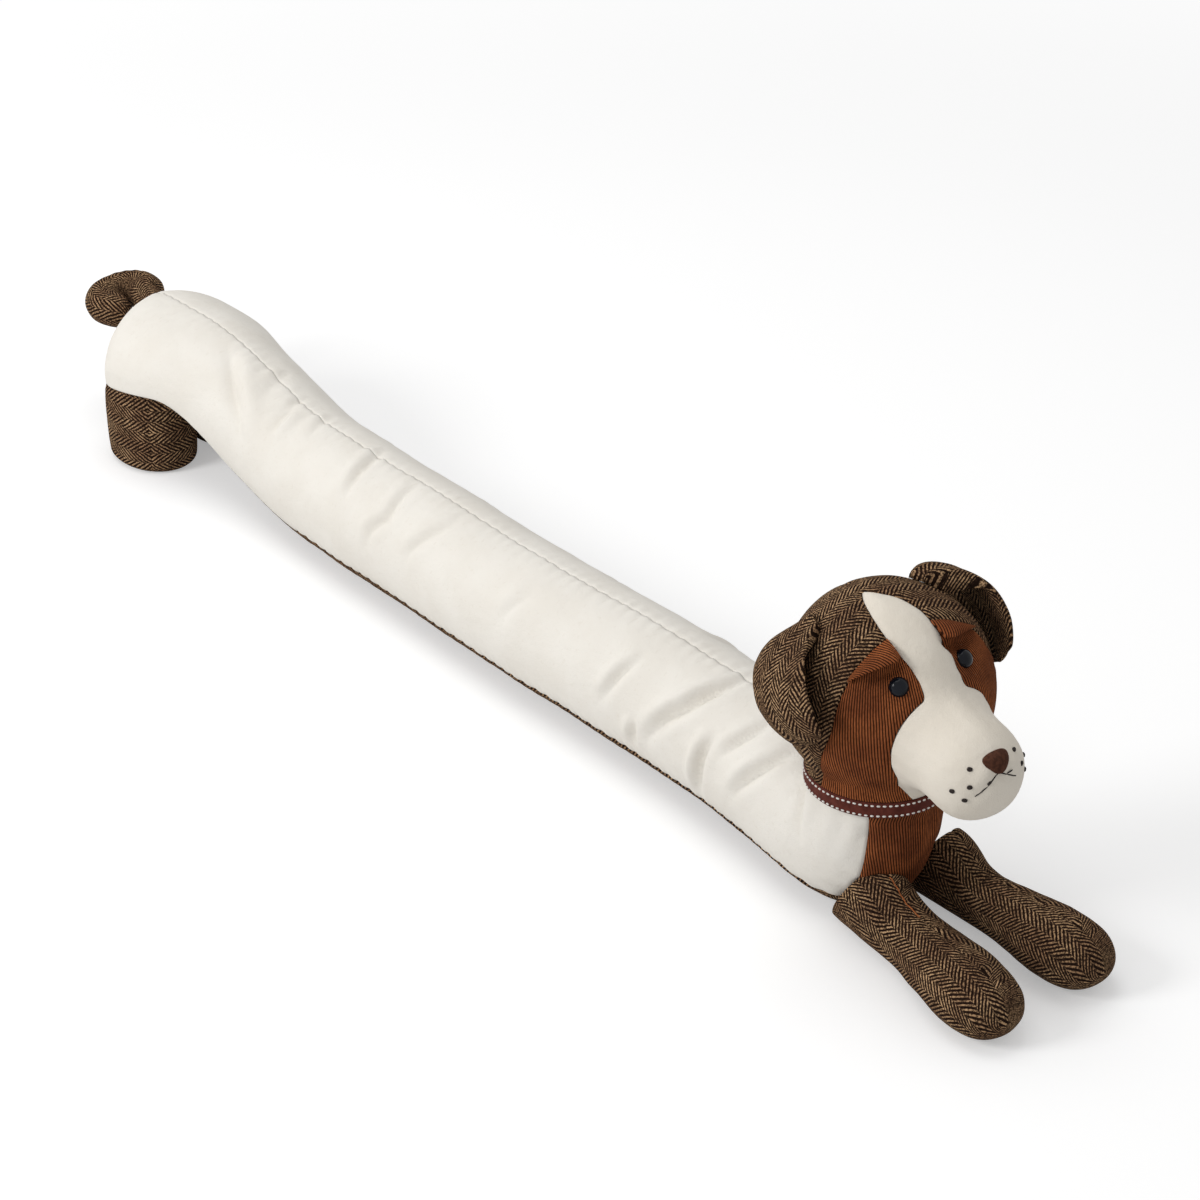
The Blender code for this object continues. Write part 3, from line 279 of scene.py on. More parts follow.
# Ears
EAR_THICKNESS = 0.0055
EAR_RIGHT_LIFT = 0.0115         # how far each ear arches off the head
EAR_RIGHT_PEAK = 0.66           # and where along it
EAR_LEFT_LIFT = 0.0118
EAR_LEFT_PEAK = 0.40
EAR_TIP_LIFT = 0.0030
EAR_RIGHT_ROOT = 0.02, 0.28     # shares along each ear over which its lining leaves the head
EAR_LEFT_ROOT = 0.14, 0.42
EAR_ROOT_RISE = radians(55)
EAR_TIP_RISE = radians(-2)
EAR_FRONT_EDGE = radians(102), radians(88), radians(78), radians(69), radians(63), radians(69)
EAR_BACK_EDGE = radians(120), radians(121), radians(123), radians(121), radians(108), radians(81)
EAR_DROOP = radians(4)          # the back edge hangs lower than the front edge
EAR_RIGHT_FORWARD = radians(3.5)  # the near ear's front edge lies this much further ahead
EAR_FLARE = 0.0075              # the ears' front edges stand off the head
EAR_COLUMN_SHIFT = 0.0040       # a column of the weave runs down the middle of the ear
EAR_TIP_START = 0.90            # share along it where its end starts to round off
EAR_LEAST = 0.12                # thickness of its edges, as a share
EAR_LUMP = 0.0010
EAR_RIPPLE = 0.0004

# Mesh steps
BASE_STEPS = 26
COVER_STEPS = 44
REAR_STEPS = 30
TUBE_STEPS = 420
CHEST_STEPS = 60
NECK_STEPS = 12
CHEST_START = REAR_STEPS + TUBE_STEPS + 18  # row of the body where the chest panel starts
SKULL_SUBDIVISIONS = 6
FRONT_CROWDING = 0.42           # gathers the head's triangles towards the muzzle
LEG_STEPS = 96
LEG_SIDES = 72
PAW_CROWDING = 1.35             # gathers the front leg's rings towards the paw
REAR_LEG_SIDES = 80
TAIL_STEPS = 110
TAIL_SIDES = 48
TAIL_SEAM_COLUMN = 12
BROW_ROWS = 20
BROW_COLUMNS = 56
EAR_ROWS = 84
EAR_COLUMNS = 48
RIBBON_SIDES = 360
STITCH_PLACES = 3600            # along the collar, from which its stitches are taken
THREAD_SIDES = 10

# Seams: grooves where cloth is drawn in, with small puckers on both sides
SEAM_DEPTH = 0.0013
SEAM_WIDTH = 0.0020
BASE_SEAM_DEPTH = 0.00078
SPINE_SEAM_DEPTH = 0.000416
CROWN_SEAM_DEPTH = 0.00104
CROWN_SEAM_WIDTH = 0.0016
PUCKER_DEPTH = 0.00045
PUCKER_REACH = 0.0100
PUCKER_LENGTH = 0.0110
HEAD_PUCKER_DEPTH = 0.000225
HEAD_PUCKER_REACH = 0.0070

# Creases of the body: depth, width and then places along the back with turns round the
# body in degrees, where 180 is the seam along the back and over 180 is the dog's right
CREASES = [
    (0.0021, 0.0075, (-0.312, 196), (-0.288, 216), (-0.268, 232), (-0.256, 252)),
    (0.0009, 0.0050, (-0.262, 200), (-0.264, 184), (-0.269, 166)),
    (0.0009, 0.0046, (-0.245, 212), (-0.236, 194), (-0.239, 172)),
    (0.0015, 0.0044, (-0.232, 192), (-0.231, 205), (-0.232, 226)),
    (0.0008, 0.0046, (-0.198, 208), (-0.203, 186), (-0.209, 166)),
    (0.0019, 0.0044, (-0.128, 232), (-0.130, 216), (-0.134, 190), (-0.141, 168)),
    (0.0016, 0.0045, (-0.089, 262), (-0.090, 246), (-0.078, 226), (-0.081, 200), (-0.083, 182)),
    (0.0013, 0.0045, (-0.047, 250), (-0.041, 234), (-0.030, 214), (-0.022, 194)),
    (0.0009, 0.0050, (0.060, 250), (0.066, 236), (0.076, 216)),
    (0.0016, 0.0040, (0.165, 264), (0.170, 254), (0.177, 234), (0.186, 214)),
    (0.0030, 0.0048, (0.210, 274), (0.214, 266), (0.226, 246), (0.238, 230), (0.251, 202),
     (0.258, 180)),
    (0.0017, 0.0035, (0.199, 286), (0.198, 276), (0.200, 264)),
    (0.0026, 0.0042, (0.262, 292), (0.265, 272), (0.266, 254), (0.270, 236)),
    (0.0020, 0.0042, (0.281, 246), (0.288, 234), (0.296, 220), (0.304, 204)),
    (0.0026, 0.0045, (0.300, 268), (0.307, 256), (0.321, 234), (0.334, 212)),
    (0.0020, 0.0040, (0.352, 236), (0.360, 222), (0.367, 252), (0.372, 268)),
    (0.0016, 0.0060, (-0.270, 110), (-0.258, 96), (-0.250, 80)),
    (0.0018, 0.0050, (-0.160, 132), (-0.150, 112), (-0.146, 92)),
    (0.0014, 0.0050, (-0.052, 140), (-0.044, 116), (-0.040, 96)),
    (0.0012, 0.0055, (0.090, 142), (0.098, 120), (0.100, 98)),
    (0.0020, 0.0050, (0.196, 146), (0.208, 122), (0.214, 98)),
    (0.0024, 0.0050, (0.262, 150), (0.276, 126), (0.282, 100)),
    (0.0022, 0.0050, (0.322, 148), (0.336, 124), (0.344, 100)),
]
CREASE_LIP = 0.50               # height of the rolls beside a crease, against its depth
CREASE_UNEVEN = 0.60            # how much higher the roll is on one side
CREASE_STRENGTH = 2.2           # all depths are drawn this much deeper
CREASE_RADIUS = 0.0460          # turns round the body become lengths at this radius

# Cloth patterns
COLUMN_WIDTH = 0.0083           # of the herringbone
TWILL_PITCH = 0.0032            # between its slanting ribs
TWILL_SLOPE = 1.05
WALE_PITCH = 0.0017             # of the corduroy

# Stitches
STITCH_PITCH = 0.0035
STITCH_LENGTH = 0.0020
STITCH_RADIUS = 0.00060
STITCH_INSET = 0.0016           # of each row from the ribbon's edge
STITCH_SHAPE = ((0.0, 0.35), (0.15, 0.85), (0.5, 1.0), (0.85, 0.85), (1.0, 0.35))

# Camera, light and floor
CAMERA_PLACE = (1.3944, -1.037, 1.036)
CAMERA_TURN = radians(51)
CAMERA_HEIGHT = radians(30)
CAMERA_LENS = 87.45
CAMERA_SENSOR = 36.0
CAMERA_FAR = 60.0
FLOOR_SIZE = 16.0
FLOOR_DROP = 0.0004             # the floor lies this far under the dog
FLOOR_GLOW = 0.35               # of the floor in the camera's view, under the dog
FLOOR_GLOW_FAR = 0.80           # where the lamps no longer reach
FLOOR_NEAR = 0.9                # distances from the dog between which the glow grows
FLOOR_FAR = 3.4
SKY_LIGHT = 0.47
# Name, place, aim, size and power of each lamp
LAMPS = (
    ("overhead_lamp", (-0.5, -0.1, 2.6), (0.0, 0.0, 0.0), 1.9, 17.0),
    ("window_lamp", (-0.5, -2.0, 1.35), (0.1, 0.0, 0.1), 0.95, 24.0),
)

# Colours
CREAM_LIGHT = (0.865, 0.83, 0.765, 1.0)
CREAM_DEEP = (0.83, 0.79, 0.72, 1.0)
CREAM_SLUB = (0.72, 0.66, 0.57, 1.0)
# Painted shade and painted warm bounce light: the muzzle is the same cream cloth as the body, given
# a darker, warmer copy of its colours
MUZZLE_SHADED_LIGHT = (0.815, 0.755, 0.66, 1.0)    # the same cream, painted darker and warmer
MUZZLE_SHADED_DEEP = (0.785, 0.72, 0.62, 1.0)
TAN_LIGHT = (0.56, 0.355, 0.195, 1.0)
TAN_DEEP = (0.36, 0.21, 0.115, 1.0)
DARK_LIGHT = (0.030, 0.015, 0.010, 1.0)
DARK_DEEP = (0.012, 0.006, 0.004, 1.0)
RUST_LIGHT = (0.40, 0.125, 0.044, 1.0)
RUST_DEEP = (0.25, 0.076, 0.029, 1.0)
# near black: painted shade in the hollows between the corduroy's wales
RUST_GROOVE_SHADE = (0.030, 0.009, 0.004, 1.0)
RIBBON_LIGHT = (0.125, 0.030, 0.020, 1.0)
RIBBON_DEEP = (0.080, 0.018, 0.012, 1.0)
PLASTIC_LIGHT = (0.006, 0.008, 0.013, 1.0)
PLASTIC_DEEP = (0.003, 0.0035, 0.006, 1.0)
FLOOR_COLOUR = (0.80, 0.80, 0.80, 1.0)
WHITE = (1.0, 1.0, 1.0, 1.0)
# Plain cloths and threads: dark and light colour, roughness, scale and depth of the grain,
# and specular
PLAIN_LOOKS = {
    "white_wadding": ((0.80, 0.80, 0.78, 1.0), (0.90, 0.90, 0.88, 1.0), 0.98, 300.0, 0.002, 0.3),
    "nose_cloth": ((0.052, 0.020, 0.012, 1.0), (0.092, 0.036, 0.021, 1.0), 0.85, 900.0, 0.0006,
                   0.1),
    "black_thread": ((0.010, 0.007, 0.006, 1.0), (0.030, 0.021, 0.018, 1.0), 0.8, 2500.0,
                     0.0002, 0.3),
    "orange_thread": ((0.30, 0.085, 0.025, 1.0), (0.52, 0.17, 0.05, 1.0), 0.8, 2500.0, 0.0002,
                      0.3),
    "stitch_thread": ((0.78, 0.75, 0.70, 1.0), (0.90, 0.88, 0.84, 1.0), 0.8, 2500.0, 0.0002,
                      0.3),
}


# Curves and measures

def smoothstep(start, end, value):
    """0 before the start, 1 past the end, with a soft rise between them."""
    share = np.clip((np.asarray(value, float) - start) / (end - start), 0.0, 1.0)
    return share * share * (3.0 - 2.0 * share)


def hump(distance, reach):
    """1 where the distance is nothing, fading over the reach."""
    return np.exp(-(distance / reach) ** 2)


def average(values, count):
    """Moving average over an odd count of neighbours."""
    padded = np.pad(values, count // 2, mode="edge")
    return np.convolve(padded, np.ones(count) / count, mode="valid")


def bezier(first, second, third, fourth, share):
    """A point of the curve from the first to the fourth point."""
    rest = 1.0 - share
    terms = ((first, rest ** 3), (second, 3 * rest * rest * share))
    terms += ((third, 3 * rest * share * share), (fourth, share ** 3))
    return sum(np.array(point, float) * weight for point, weight in terms)


def unit(vectors):
    """The vectors at length 1."""
    vectors = np.array(vectors, float)
    return vectors / np.linalg.norm(vectors, axis=-1, keepdims=True)


def walked(points):
    """Length walked to each point along the first axis of a grid or a line."""
    steps = np.linalg.norm(np.diff(points, axis=0), axis=-1)
    return np.concatenate([np.zeros_like(steps[:1]), np.cumsum(steps, axis=0)])


def ring_lengths(grid, closed=True):
    """Length along each row of a grid, from its first column; closed rows add the way back."""
    if closed:
        grid = np.concatenate([grid, grid[:, :1]], axis=1)
    return walked(grid.swapaxes(0, 1)).T


def lumps(points, scale, seed):
    """Soft lumps between -1 and 1 at the given points."""
    flat = np.asarray(points, float).reshape(-1, 3) * scale + seed
    values = np.array([noise.noise(Vector(point)) for point in flat])
    return values.reshape(np.asarray(points).shape[:-1])


# Sections of the body, the neck and the legs

def section(top, bottom, half_width, floor, angles, inset):
    """An oval between a top and a bottom point, cut flat at a floor height."""
    top = np.array(top, float)
    bottom = np.array(bottom, float)
    middle = (top + bottom) / 2.0
    half_height = np.linalg.norm(top - bottom) / 2.0
    upward = (top - bottom) / (2.0 * half_height)
    rise = -np.cos(angles) * (half_height - inset)
    reach = np.sin(angles) * (half_width - inset)
    x = middle[0] + rise * upward[0]
    z = np.maximum(middle[1] + rise * upward[1], floor + inset)
    return np.stack([x, reach, z], axis=1)


def bend(points):
    """Turns the front end of the body towards the dog's right."""
    points = np.array(points, float)
    span = BEND_END_X - BEND_START_X
    slope_end = tan(BEND_ANGLE)
    over = np.clip(points[..., 0] - BEND_START_X, 0.0, span)
    beyond = np.maximum(points[..., 0] - BEND_END_X, 0.0)
    slope = slope_end * over / span
    middle = slope_end * over * over / (2.0 * span) + slope_end * beyond
    for bow, place in ((REAR_BOW, REAR_BOW_X), (FRONT_BOW, FRONT_BOW_X)):
        share = np.clip((points[..., 0] - place) / BOW_REACH, -1.0, 1.0)
        middle = middle + bow * np.cos(pi / 2.0 * share) ** 2
    length = np.sqrt(1.0 + slope * slope)
    side = points[..., 1].copy()
    points[..., 0] = points[..., 0] - side * slope / length
    points[..., 1] = middle + side / length
    return points


def neck_points():
    """The neck's axis, its nape and its throat, seen from the side."""
    axis = np.array([sin(NECK_TILT), cos(NECK_TILT)])
    forward = np.array([cos(NECK_TILT), -sin(NECK_TILT)])
    middle = np.array([NECK_X, NECK_Z])
    return axis, middle - forward * NECK_RADIUS, middle + forward * NECK_RADIUS


def hip_stations(inset):
    """The rounded back end, up to the middle of the hips."""
    stations = []
    for step in range(REAR_STEPS):
        angle = np.arccos(REAR_POLE_RATIO) * (1.0 - step / REAR_STEPS)
        x = HIP_X - (REAR_REACH - inset) * sin(angle)
        tall = (1.0 - sin(angle) ** REAR_SQUARENESS) ** (1.0 / REAR_SQUARENESS)
        top = REAR_POLE_HEIGHT + (HIP_TOP - REAR_POLE_HEIGHT) * tall
        bottom = REAR_POLE_HEIGHT + (HIP_BOTTOM - REAR_POLE_HEIGHT) * tall
        under = REAR_LEG_HEIGHT + HIP_FLOOR_SLOPE * (x - HIP_X)
        floor = REAR_POLE_HEIGHT + (under - REAR_POLE_HEIGHT) * sqrt(tall)
        stations.append(((x, top), (x, bottom), HIP_HALF_WIDTH * cos(angle), floor,
                         HIP_SEAM_ANGLE, 0.0))
    return stations


def tube_stations():
    """The long tube, from the middle of the hips to the shoulders."""
    stations = []
    for step in range(TUBE_STEPS):
        share = step / TUBE_STEPS
        top_x = HIP_X + (SHOULDER_TOP_X - HIP_X) * share
        base_x = HIP_X + (SHOULDER_BASE_X - HIP_X) * share
        lift = float(smoothstep(RISE_FRONT_X, RISE_REAR_X, base_x))
        hips = float(smoothstep(HIP_TAPER_X, HIP_X, base_x))
        tuck = float(smoothstep(RISE_REAR_X, HIP_X, base_x))
        top = BODY_HEIGHT + (HIP_TOP - BODY_HEIGHT) * lift
        belly = -FLOOR_PRESS + BELLY_RISE * lift
        bottom = belly + (HIP_BOTTOM - belly) * tuck
        under = REAR_LEG_HEIGHT + HIP_FLOOR_SLOPE * (base_x - HIP_X)
        half_width = BODY_HALF_WIDTH + (HIP_HALF_WIDTH - BODY_HALF_WIDTH) * hips
        seam = BASE_SEAM_ANGLE + (HIP_SEAM_ANGLE - BASE_SEAM_ANGLE) * hips
        stations.append(((top_x, top), (base_x, bottom), half_width, under * lift ** 1.5,
                         seam, 0.0))
    return stations


def chest_stations():
    """The chest, which turns up from the shoulders into the neck."""
    stations = []
    axis, nape, throat = neck_points()
    nape_low = nape - axis * NECK_LENGTH
    throat_low = throat - axis * NECK_LENGTH
    back_start = np.array([SHOULDER_TOP_X, BODY_HEIGHT])
    belly_start = np.array([SHOULDER_BASE_X, -FLOOR_PRESS])
    for step in range(CHEST_STEPS):
        share = step / CHEST_STEPS
        top = bezier(back_start, back_start + (NAPE_REACH, 0.0),
                     nape_low - axis * NAPE_DROP, nape_low, share)
        bottom = bezier(belly_start, belly_start + (BELLY_REACH, 0.0),
                        throat_low - axis * THROAT_DROP, throat_low, share)
        half_width = BODY_HALF_WIDTH + (CHEST_HALF_WIDTH - BODY_HALF_WIDTH) * share
        pinch = float(smoothstep(0.0, CHEST_TIP_SHARE, share))
        spread = float(smoothstep(CHEST_SPREAD_SHARE, 1.0, share))
        seam = BASE_SEAM_ANGLE + (CHEST_TIP_ANGLE - BASE_SEAM_ANGLE) * pinch
        seam = seam + (CHEST_SEAM_ANGLE - CHEST_TIP_ANGLE) * spread
        stations.append((top, bottom, half_width, 0.0, seam, CHEST_TURN * spread))
    for step in range(NECK_STEPS + 1):
        share = step / NECK_STEPS
        drop = NECK_LENGTH * (1.0 - share) if step < NECK_STEPS else GAP / 2.0
        half_width = CHEST_HALF_WIDTH + (NECK_RADIUS - CHEST_HALF_WIDTH) * share
        stations.append((nape - axis * drop, throat - axis * drop, half_width, 0.0,
                         CHEST_SEAM_ANGLE, CHEST_TURN))
    return stations


def whole_angles(seam, turn):
    """Angles round a section: the base panel first, then both covers."""
    under = np.linspace(turn - seam, turn + seam, BASE_STEPS + 1)
    left = np.linspace(turn + seam, pi, COVER_STEPS + 1)[1:]
    right = np.linspace(-pi, turn - seam, COVER_STEPS + 1)[1:-1]
    return np.concatenate([under, left, right])


def body_rings(inset):
    """Closed rings of the body before its bend, tail to neck, and each point's turn in degrees."""
    rings = []
    turns = []
    # Each station: top, bottom, half width, floor, seam angle and turn of the seams
    stations = hip_stations(inset) + tube_stations() + chest_stations()
    for top, bottom, half_width, floor, seam, turn in stations:
        angles = whole_angles(seam, turn)
        rings.append(section(top, bottom, half_width, floor, angles, inset))
        turns.append(np.degrees(angles) % 360.0)
    return np.array(rings), np.array(turns)


def sweep(path, facings, radii, sides):
    """Rings of a round tube along a path; facings point away from what it lies on."""
    rings = []
    turns = np.linspace(0.0, 2.0 * pi, sides + 1)[:-1, None]
    for index, middle in enumerate(path):
        along = unit(path[min(index + 1, len(path) - 1)] - path[max(index - 1, 0)])
        across = unit(np.cross(facings[index], along))
        upward = np.cross(along, across)
        rings.append(middle + radii[index] * (np.cos(turns) * across + np.sin(turns) * upward))
    return np.array(rings)


# Head: a round skull with a blunt muzzle, in the head's own axes (forward, left, up)

def head_axes():
    """The head's forward, left and upward directions, one in each row."""
    forward = np.array([cos(HEAD_TURN), sin(HEAD_TURN), 0.0])
    left = np.array([-sin(HEAD_TURN), cos(HEAD_TURN), 0.0])
    upward = np.array([0.0, 0.0, 1.0])
    rolled_left = left * cos(HEAD_ROLL) + upward * sin(HEAD_ROLL)
    rolled_up = upward * cos(HEAD_ROLL) - left * sin(HEAD_ROLL)
    return np.array([forward, rolled_left, rolled_up])


def head_to_world(points):
    return np.array(points, float) @ head_axes() + np.array([HEAD_X, HEAD_Y, HEAD_Z])


def head_radius(directions):
    """Distance from the middle of the skull to the surface, for unit directions."""
    muzzle = np.array([MUZZLE_REACH, 0.0, -MUZZLE_DROP])
    reach = np.linalg.norm(muzzle)
    along = directions @ (muzzle / reach)
    across = np.sqrt(np.maximum(1.0 - along * along, 1e-12))
    inside = np.maximum(MUZZLE_RADIUS ** 2 - (reach * across) ** 2, 0.0)
    ball = reach * along + np.sqrt(inside)
    side = MUZZLE_RADIUS / across
    on_ball = across * reach < MUZZLE_RADIUS * along
    muzzle_radius = np.where(on_ball, ball, np.where(along > 0.0, side, 0.0))
    near = np.maximum(MUZZLE_BLEND - np.abs(muzzle_radius - HEAD_RADIUS), 0.0) / MUZZLE_BLEND
    return np.maximum(muzzle_radius, HEAD_RADIUS) + near * near * MUZZLE_BLEND / 4.0


def head_surface(directions):
    """Points of the head's surface and its outward normals."""
    directions = unit(directions)
    points = directions * head_radius(directions)[..., None]
    helper = np.where(np.abs(directions[..., 2:3]) < 0.9, (0.0, 0.0, 1.0), (1.0, 0.0, 0.0))
    first = unit(np.cross(directions, helper))
    second = np.cross(directions, first)
    step = 1e-3
    ahead = unit(directions + first * step)
    beside = unit(directions + second * step)
    back = unit(directions - first * step)
    other = unit(directions - second * step)
    run = ahead * head_radius(ahead)[..., None] - back * head_radius(back)[..., None]
    rise = beside * head_radius(beside)[..., None] - other * head_radius(other)[..., None]
    normals = unit(np.cross(run, rise))
    outward = np.sign(np.sum(normals * directions, axis=-1, keepdims=True))
    return points, normals * outward


def skull_mesh():
    """Triangles of a ball, crowded towards the muzzle, as directions."""
    work = bmesh.new()
    bmesh.ops.create_icosphere(work, subdivisions=SKULL_SUBDIVISIONS, radius=1.0)
    directions = np.array([vertex.co[:] for vertex in work.verts])
    triangles = [tuple(vertex.index for vertex in face.verts) for face in work.faces]
    work.free()
    directions[:, 0] += FRONT_CROWDING
    return unit(directions), triangles


def cut_skin(skin, values, limit):
    """Keeps the side of a skin where a value lies above a limit."""
    points, normals, triangles = skin
    values = np.asarray(values) - limit
    new_points = list(points)
    new_normals = list(normals)
    made = {}

    def crossing(a, b):
        key = (min(a, b), max(a, b))
        if key not in made:
            low, high = key
            share = values[low] / (values[low] - values[high])
            share = min(max(share, 0.01), 0.99)
            new_points.append(points[low] + (points[high] - points[low]) * share)
            new_normals.append(unit(normals[low] + (normals[high] - normals[low]) * share))
            made[key] = len(new_points) - 1
        return made[key]

    kept = []
    for triangle in triangles:
        inside = [values[index] > 0.0 for index in triangle]
        if all(inside):
            kept.append(triangle)
        elif any(inside):
            lone = inside.index(sum(inside) == 1)
            a, b, c = (triangle[(lone + turn) % 3] for turn in range(3))
            if sum(inside) == 1:
                kept.append((a, crossing(a, b), crossing(a, c)))
            else:
                kept.append((b, c, crossing(a, c)))
                kept.append((b, crossing(a, c), crossing(a, b)))
    used = sorted({index for triangle in kept for index in triangle})
    place = {old: new for new, old in enumerate(used)}
    kept = [tuple(place[index] for index in triangle) for triangle in kept]
    return np.array(new_points)[used], np.array(new_normals)[used], kept


def boundary_edges(triangles):
    """Edges that belong to one triangle only, in its direction."""
    directed = set()
    for a, b, c in triangles:
        directed.update(((a, b), (b, c), (c, a)))
    return [(a, b) for a, b in directed if (b, a) not in directed]


def neck_plane_distance(points):
    """How far points of the head lie above the neck seam."""
    axis = np.array([sin(NECK_TILT) * cos(BEND_ANGLE), sin(NECK_TILT) * sin(BEND_ANGLE),
                     cos(NECK_TILT)])
    middle = bend(np.array([NECK_X, 0.0, NECK_Z]))
    return (head_to_world(points) - middle) @ axis


def muzzle_field(points):
    """Positive inside the cream cloth: the muzzle, the chin and the blaze over the forehead."""
    centre = unit(np.array([MUZZLE_REACH, 0.0, -MUZZLE_DROP]))
    across = points - np.outer(points @ centre, centre)
    across[:, 2] += MUZZLE_SEAM_DROP
    muzzle = MUZZLE_SEAM_RADIUS - np.linalg.norm(across, axis=1)
    chin = np.interp(points[:, 2], CHIN_HEIGHTS, CHIN_HALF_WIDTHS) - np.abs(points[:, 1])
    chin = np.minimum(chin, -MUZZLE_DROP - points[:, 2])
    muzzle = np.where(points[:, 0] > 0.0, np.maximum(muzzle, chin), -HEAD_RADIUS)
    behind = points[:, 0] - BLAZE_TIP_X
    half_width = np.interp(points[:, 0], BLAZE_PLACES, BLAZE_HALF_WIDTHS)
    away = np.abs(points[:, 1] - np.interp(points[:, 0], BLAZE_PLACES, BLAZE_MIDDLES))
    blaze = np.where((points[:, 2] > 0.0) & (behind > 0.0), half_width - away, -HEAD_RADIUS)
    blaze = np.where(behind <= 0.0, np.minimum(-away, behind), blaze)
    near = np.maximum(MUZZLE_SEAM_BLEND - np.abs(muzzle - blaze), 0.0) / MUZZLE_SEAM_BLEND
    return np.maximum(muzzle, blaze) + near * near * MUZZLE_SEAM_BLEND / 4.0


def cheek_field(points):
    """Positive ahead of the seam between the crown and the cheeks."""
    sweep_back = CHEEK_SEAM_SWEEP * smoothstep(CHEEK_SWEEP_TOP, CHEEK_SWEEP_FOOT, points[:, 2])
    return points[:, 0] - (CHEEK_SEAM_X - sweep_back)


# Meshes with a cloth pattern laid out in metres

def add_object(name, data):
    item = bpy.data.objects.new(name, data)
    bpy.context.scene.collection.objects.link(item)
    return item


def finish_mesh(name, points, faces, corner_uvs, material, nodes=()):
    mesh = bpy.data.meshes.new(name)
    mesh.from_pydata([tuple(point) for point in points], [], faces)
    if corner_uvs is not None:
        layer = mesh.uv_layers.new(name="cloth")
        layer.data.foreach_set("uv", np.asarray(corner_uvs, np.float32).ravel())
    mesh.shade_smooth()
    mesh.materials.append(material)
    item = add_object(name, mesh)
    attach(item, "root")
    if nodes:
        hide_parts(*nodes)
    return item


def face_outward(mesh, triangulate=False):
    """Turns the faces of closed forms outward."""
    work = bmesh.new()
    work.from_mesh(mesh)
    bmesh.ops.recalc_face_normals(work, faces=work.faces)
    if triangulate:
        bmesh.ops.triangulate(work, faces=work.faces)
    work.to_mesh(mesh)
    work.free()


def grid_quads(rows, columns):
    """Faces of a grid of points, as indices."""
    corner = np.arange(rows * columns).reshape(rows, columns)
    quads = np.stack([corner[:-1, :-1], corner[:-1, 1:], corner[1:, 1:], corner[1:, :-1]], -1)
    return quads.reshape(-1, 4)


def ring_quads(rows, columns):
    """Faces between closed rings of points, as indices."""
    row, column = np.divmod(grid_quads(rows, columns + 1), columns + 1)
    return row * columns + column % columns


def capped_rings(rings, start=0):
    """Faces of closed rings with a flat face on both ends, as indices that begin at start."""
    rows, columns = rings.shape[:2]
    faces = (ring_quads(rows, columns) + start).tolist()
    first = list(range(start, start + columns))
    faces.append(first[::-1])
    faces.append([corner + (rows - 1) * columns for corner in first])
    return faces


def grid_normals(grid, closed):
    """Unit normals of a grid of points, which may close on itself across its columns."""
    if closed:
        across = np.roll(grid, -1, axis=1) - np.roll(grid, 1, axis=1)
    else:
        across = np.gradient(grid, axis=1)
    normals = np.cross(np.gradient(grid, axis=0), across)
    length = np.linalg.norm(normals, axis=-1, keepdims=True)
    normals = normals / np.maximum(length, 1e-12)
    outward = np.sum(normals * (grid - grid.mean(axis=1, keepdims=True)), axis=-1)
    return normals * np.sign(np.median(outward))


def displace(points, relief, lift):
    """Moves closed rings out by a relief, less where they come down to the floor."""
    lifted = smoothstep(*lift, points[..., 2])
    moved = points + grid_normals(points, True) * (relief * lifted)[..., None]
    moved[..., 2] = np.maximum(moved[..., 2], 0.0)
    return moved


def sheet_object(name, outer, inner, uv, material, nodes):
    """A thin closed panel between two grids of points."""
    rows, columns = outer.shape[:2]
    count = rows * columns
    top = grid_quads(rows, columns)
    corner = np.arange(count).reshape(rows, columns)
    ring = np.concatenate([corner[0], corner[1:, -1], corner[-1, -2::-1], corner[-2:0:-1, 0]])
    after = np.roll(ring, -1)
    edge = np.stack([after, ring, ring + count, after + count], -1)
    faces = np.concatenate([top, top[:, ::-1] + count, edge])
    points = np.concatenate([outer.reshape(-1, 3), inner.reshape(-1, 3)])
    first = points[faces[0]]
    facing = np.cross(first[1] - first[0], first[2] - first[0])
    if np.dot(facing, outer[0, 0] - inner[0, 0]) < 0.0:
        faces = faces[:, ::-1]
    flat = np.concatenate([uv.reshape(-1, 2), uv.reshape(-1, 2)])
    finish_mesh(name, points, faces.tolist(), flat[faces.ravel()], material, nodes)


def tube_mesh(name, rings, uv, material, nodes):
    """A closed solid through rings of points; its pattern has one column more than the rings."""
    rows, columns = rings.shape[:2]
    points = np.concatenate([rings.reshape(-1, 3), rings[[0, -1]].mean(axis=1)])
    faces = ring_quads(rows, columns).tolist()
    corners = list(uv.reshape(-1, 2)[grid_quads(rows, columns + 1).ravel()])
    for row, step, middle in ((0, 1, rows * columns), (rows - 1, -1, rows * columns + 1)):
        for column in range(columns):
            after = (column + 1) % columns
            face = [row * columns + after, row * columns + column, middle]
            corner = [uv[row][column + 1], uv[row][column], uv[row][column] * (0.0, 1.0)]
            faces.append(face[::step])
            corners += corner[::step]
    item = finish_mesh(name, points, faces, corners, material, nodes)
    face_outward(item.data)
    return item


def threads_object(name, threads, material, nodes):
    """Several threads as one object."""
    points = []
    faces = []
    for rings in threads:
        faces += capped_rings(rings, len(points))
        points += list(rings.reshape(-1, 3))
    item = finish_mesh(name, points, faces, None, material, nodes)
    face_outward(item.data)


# Body

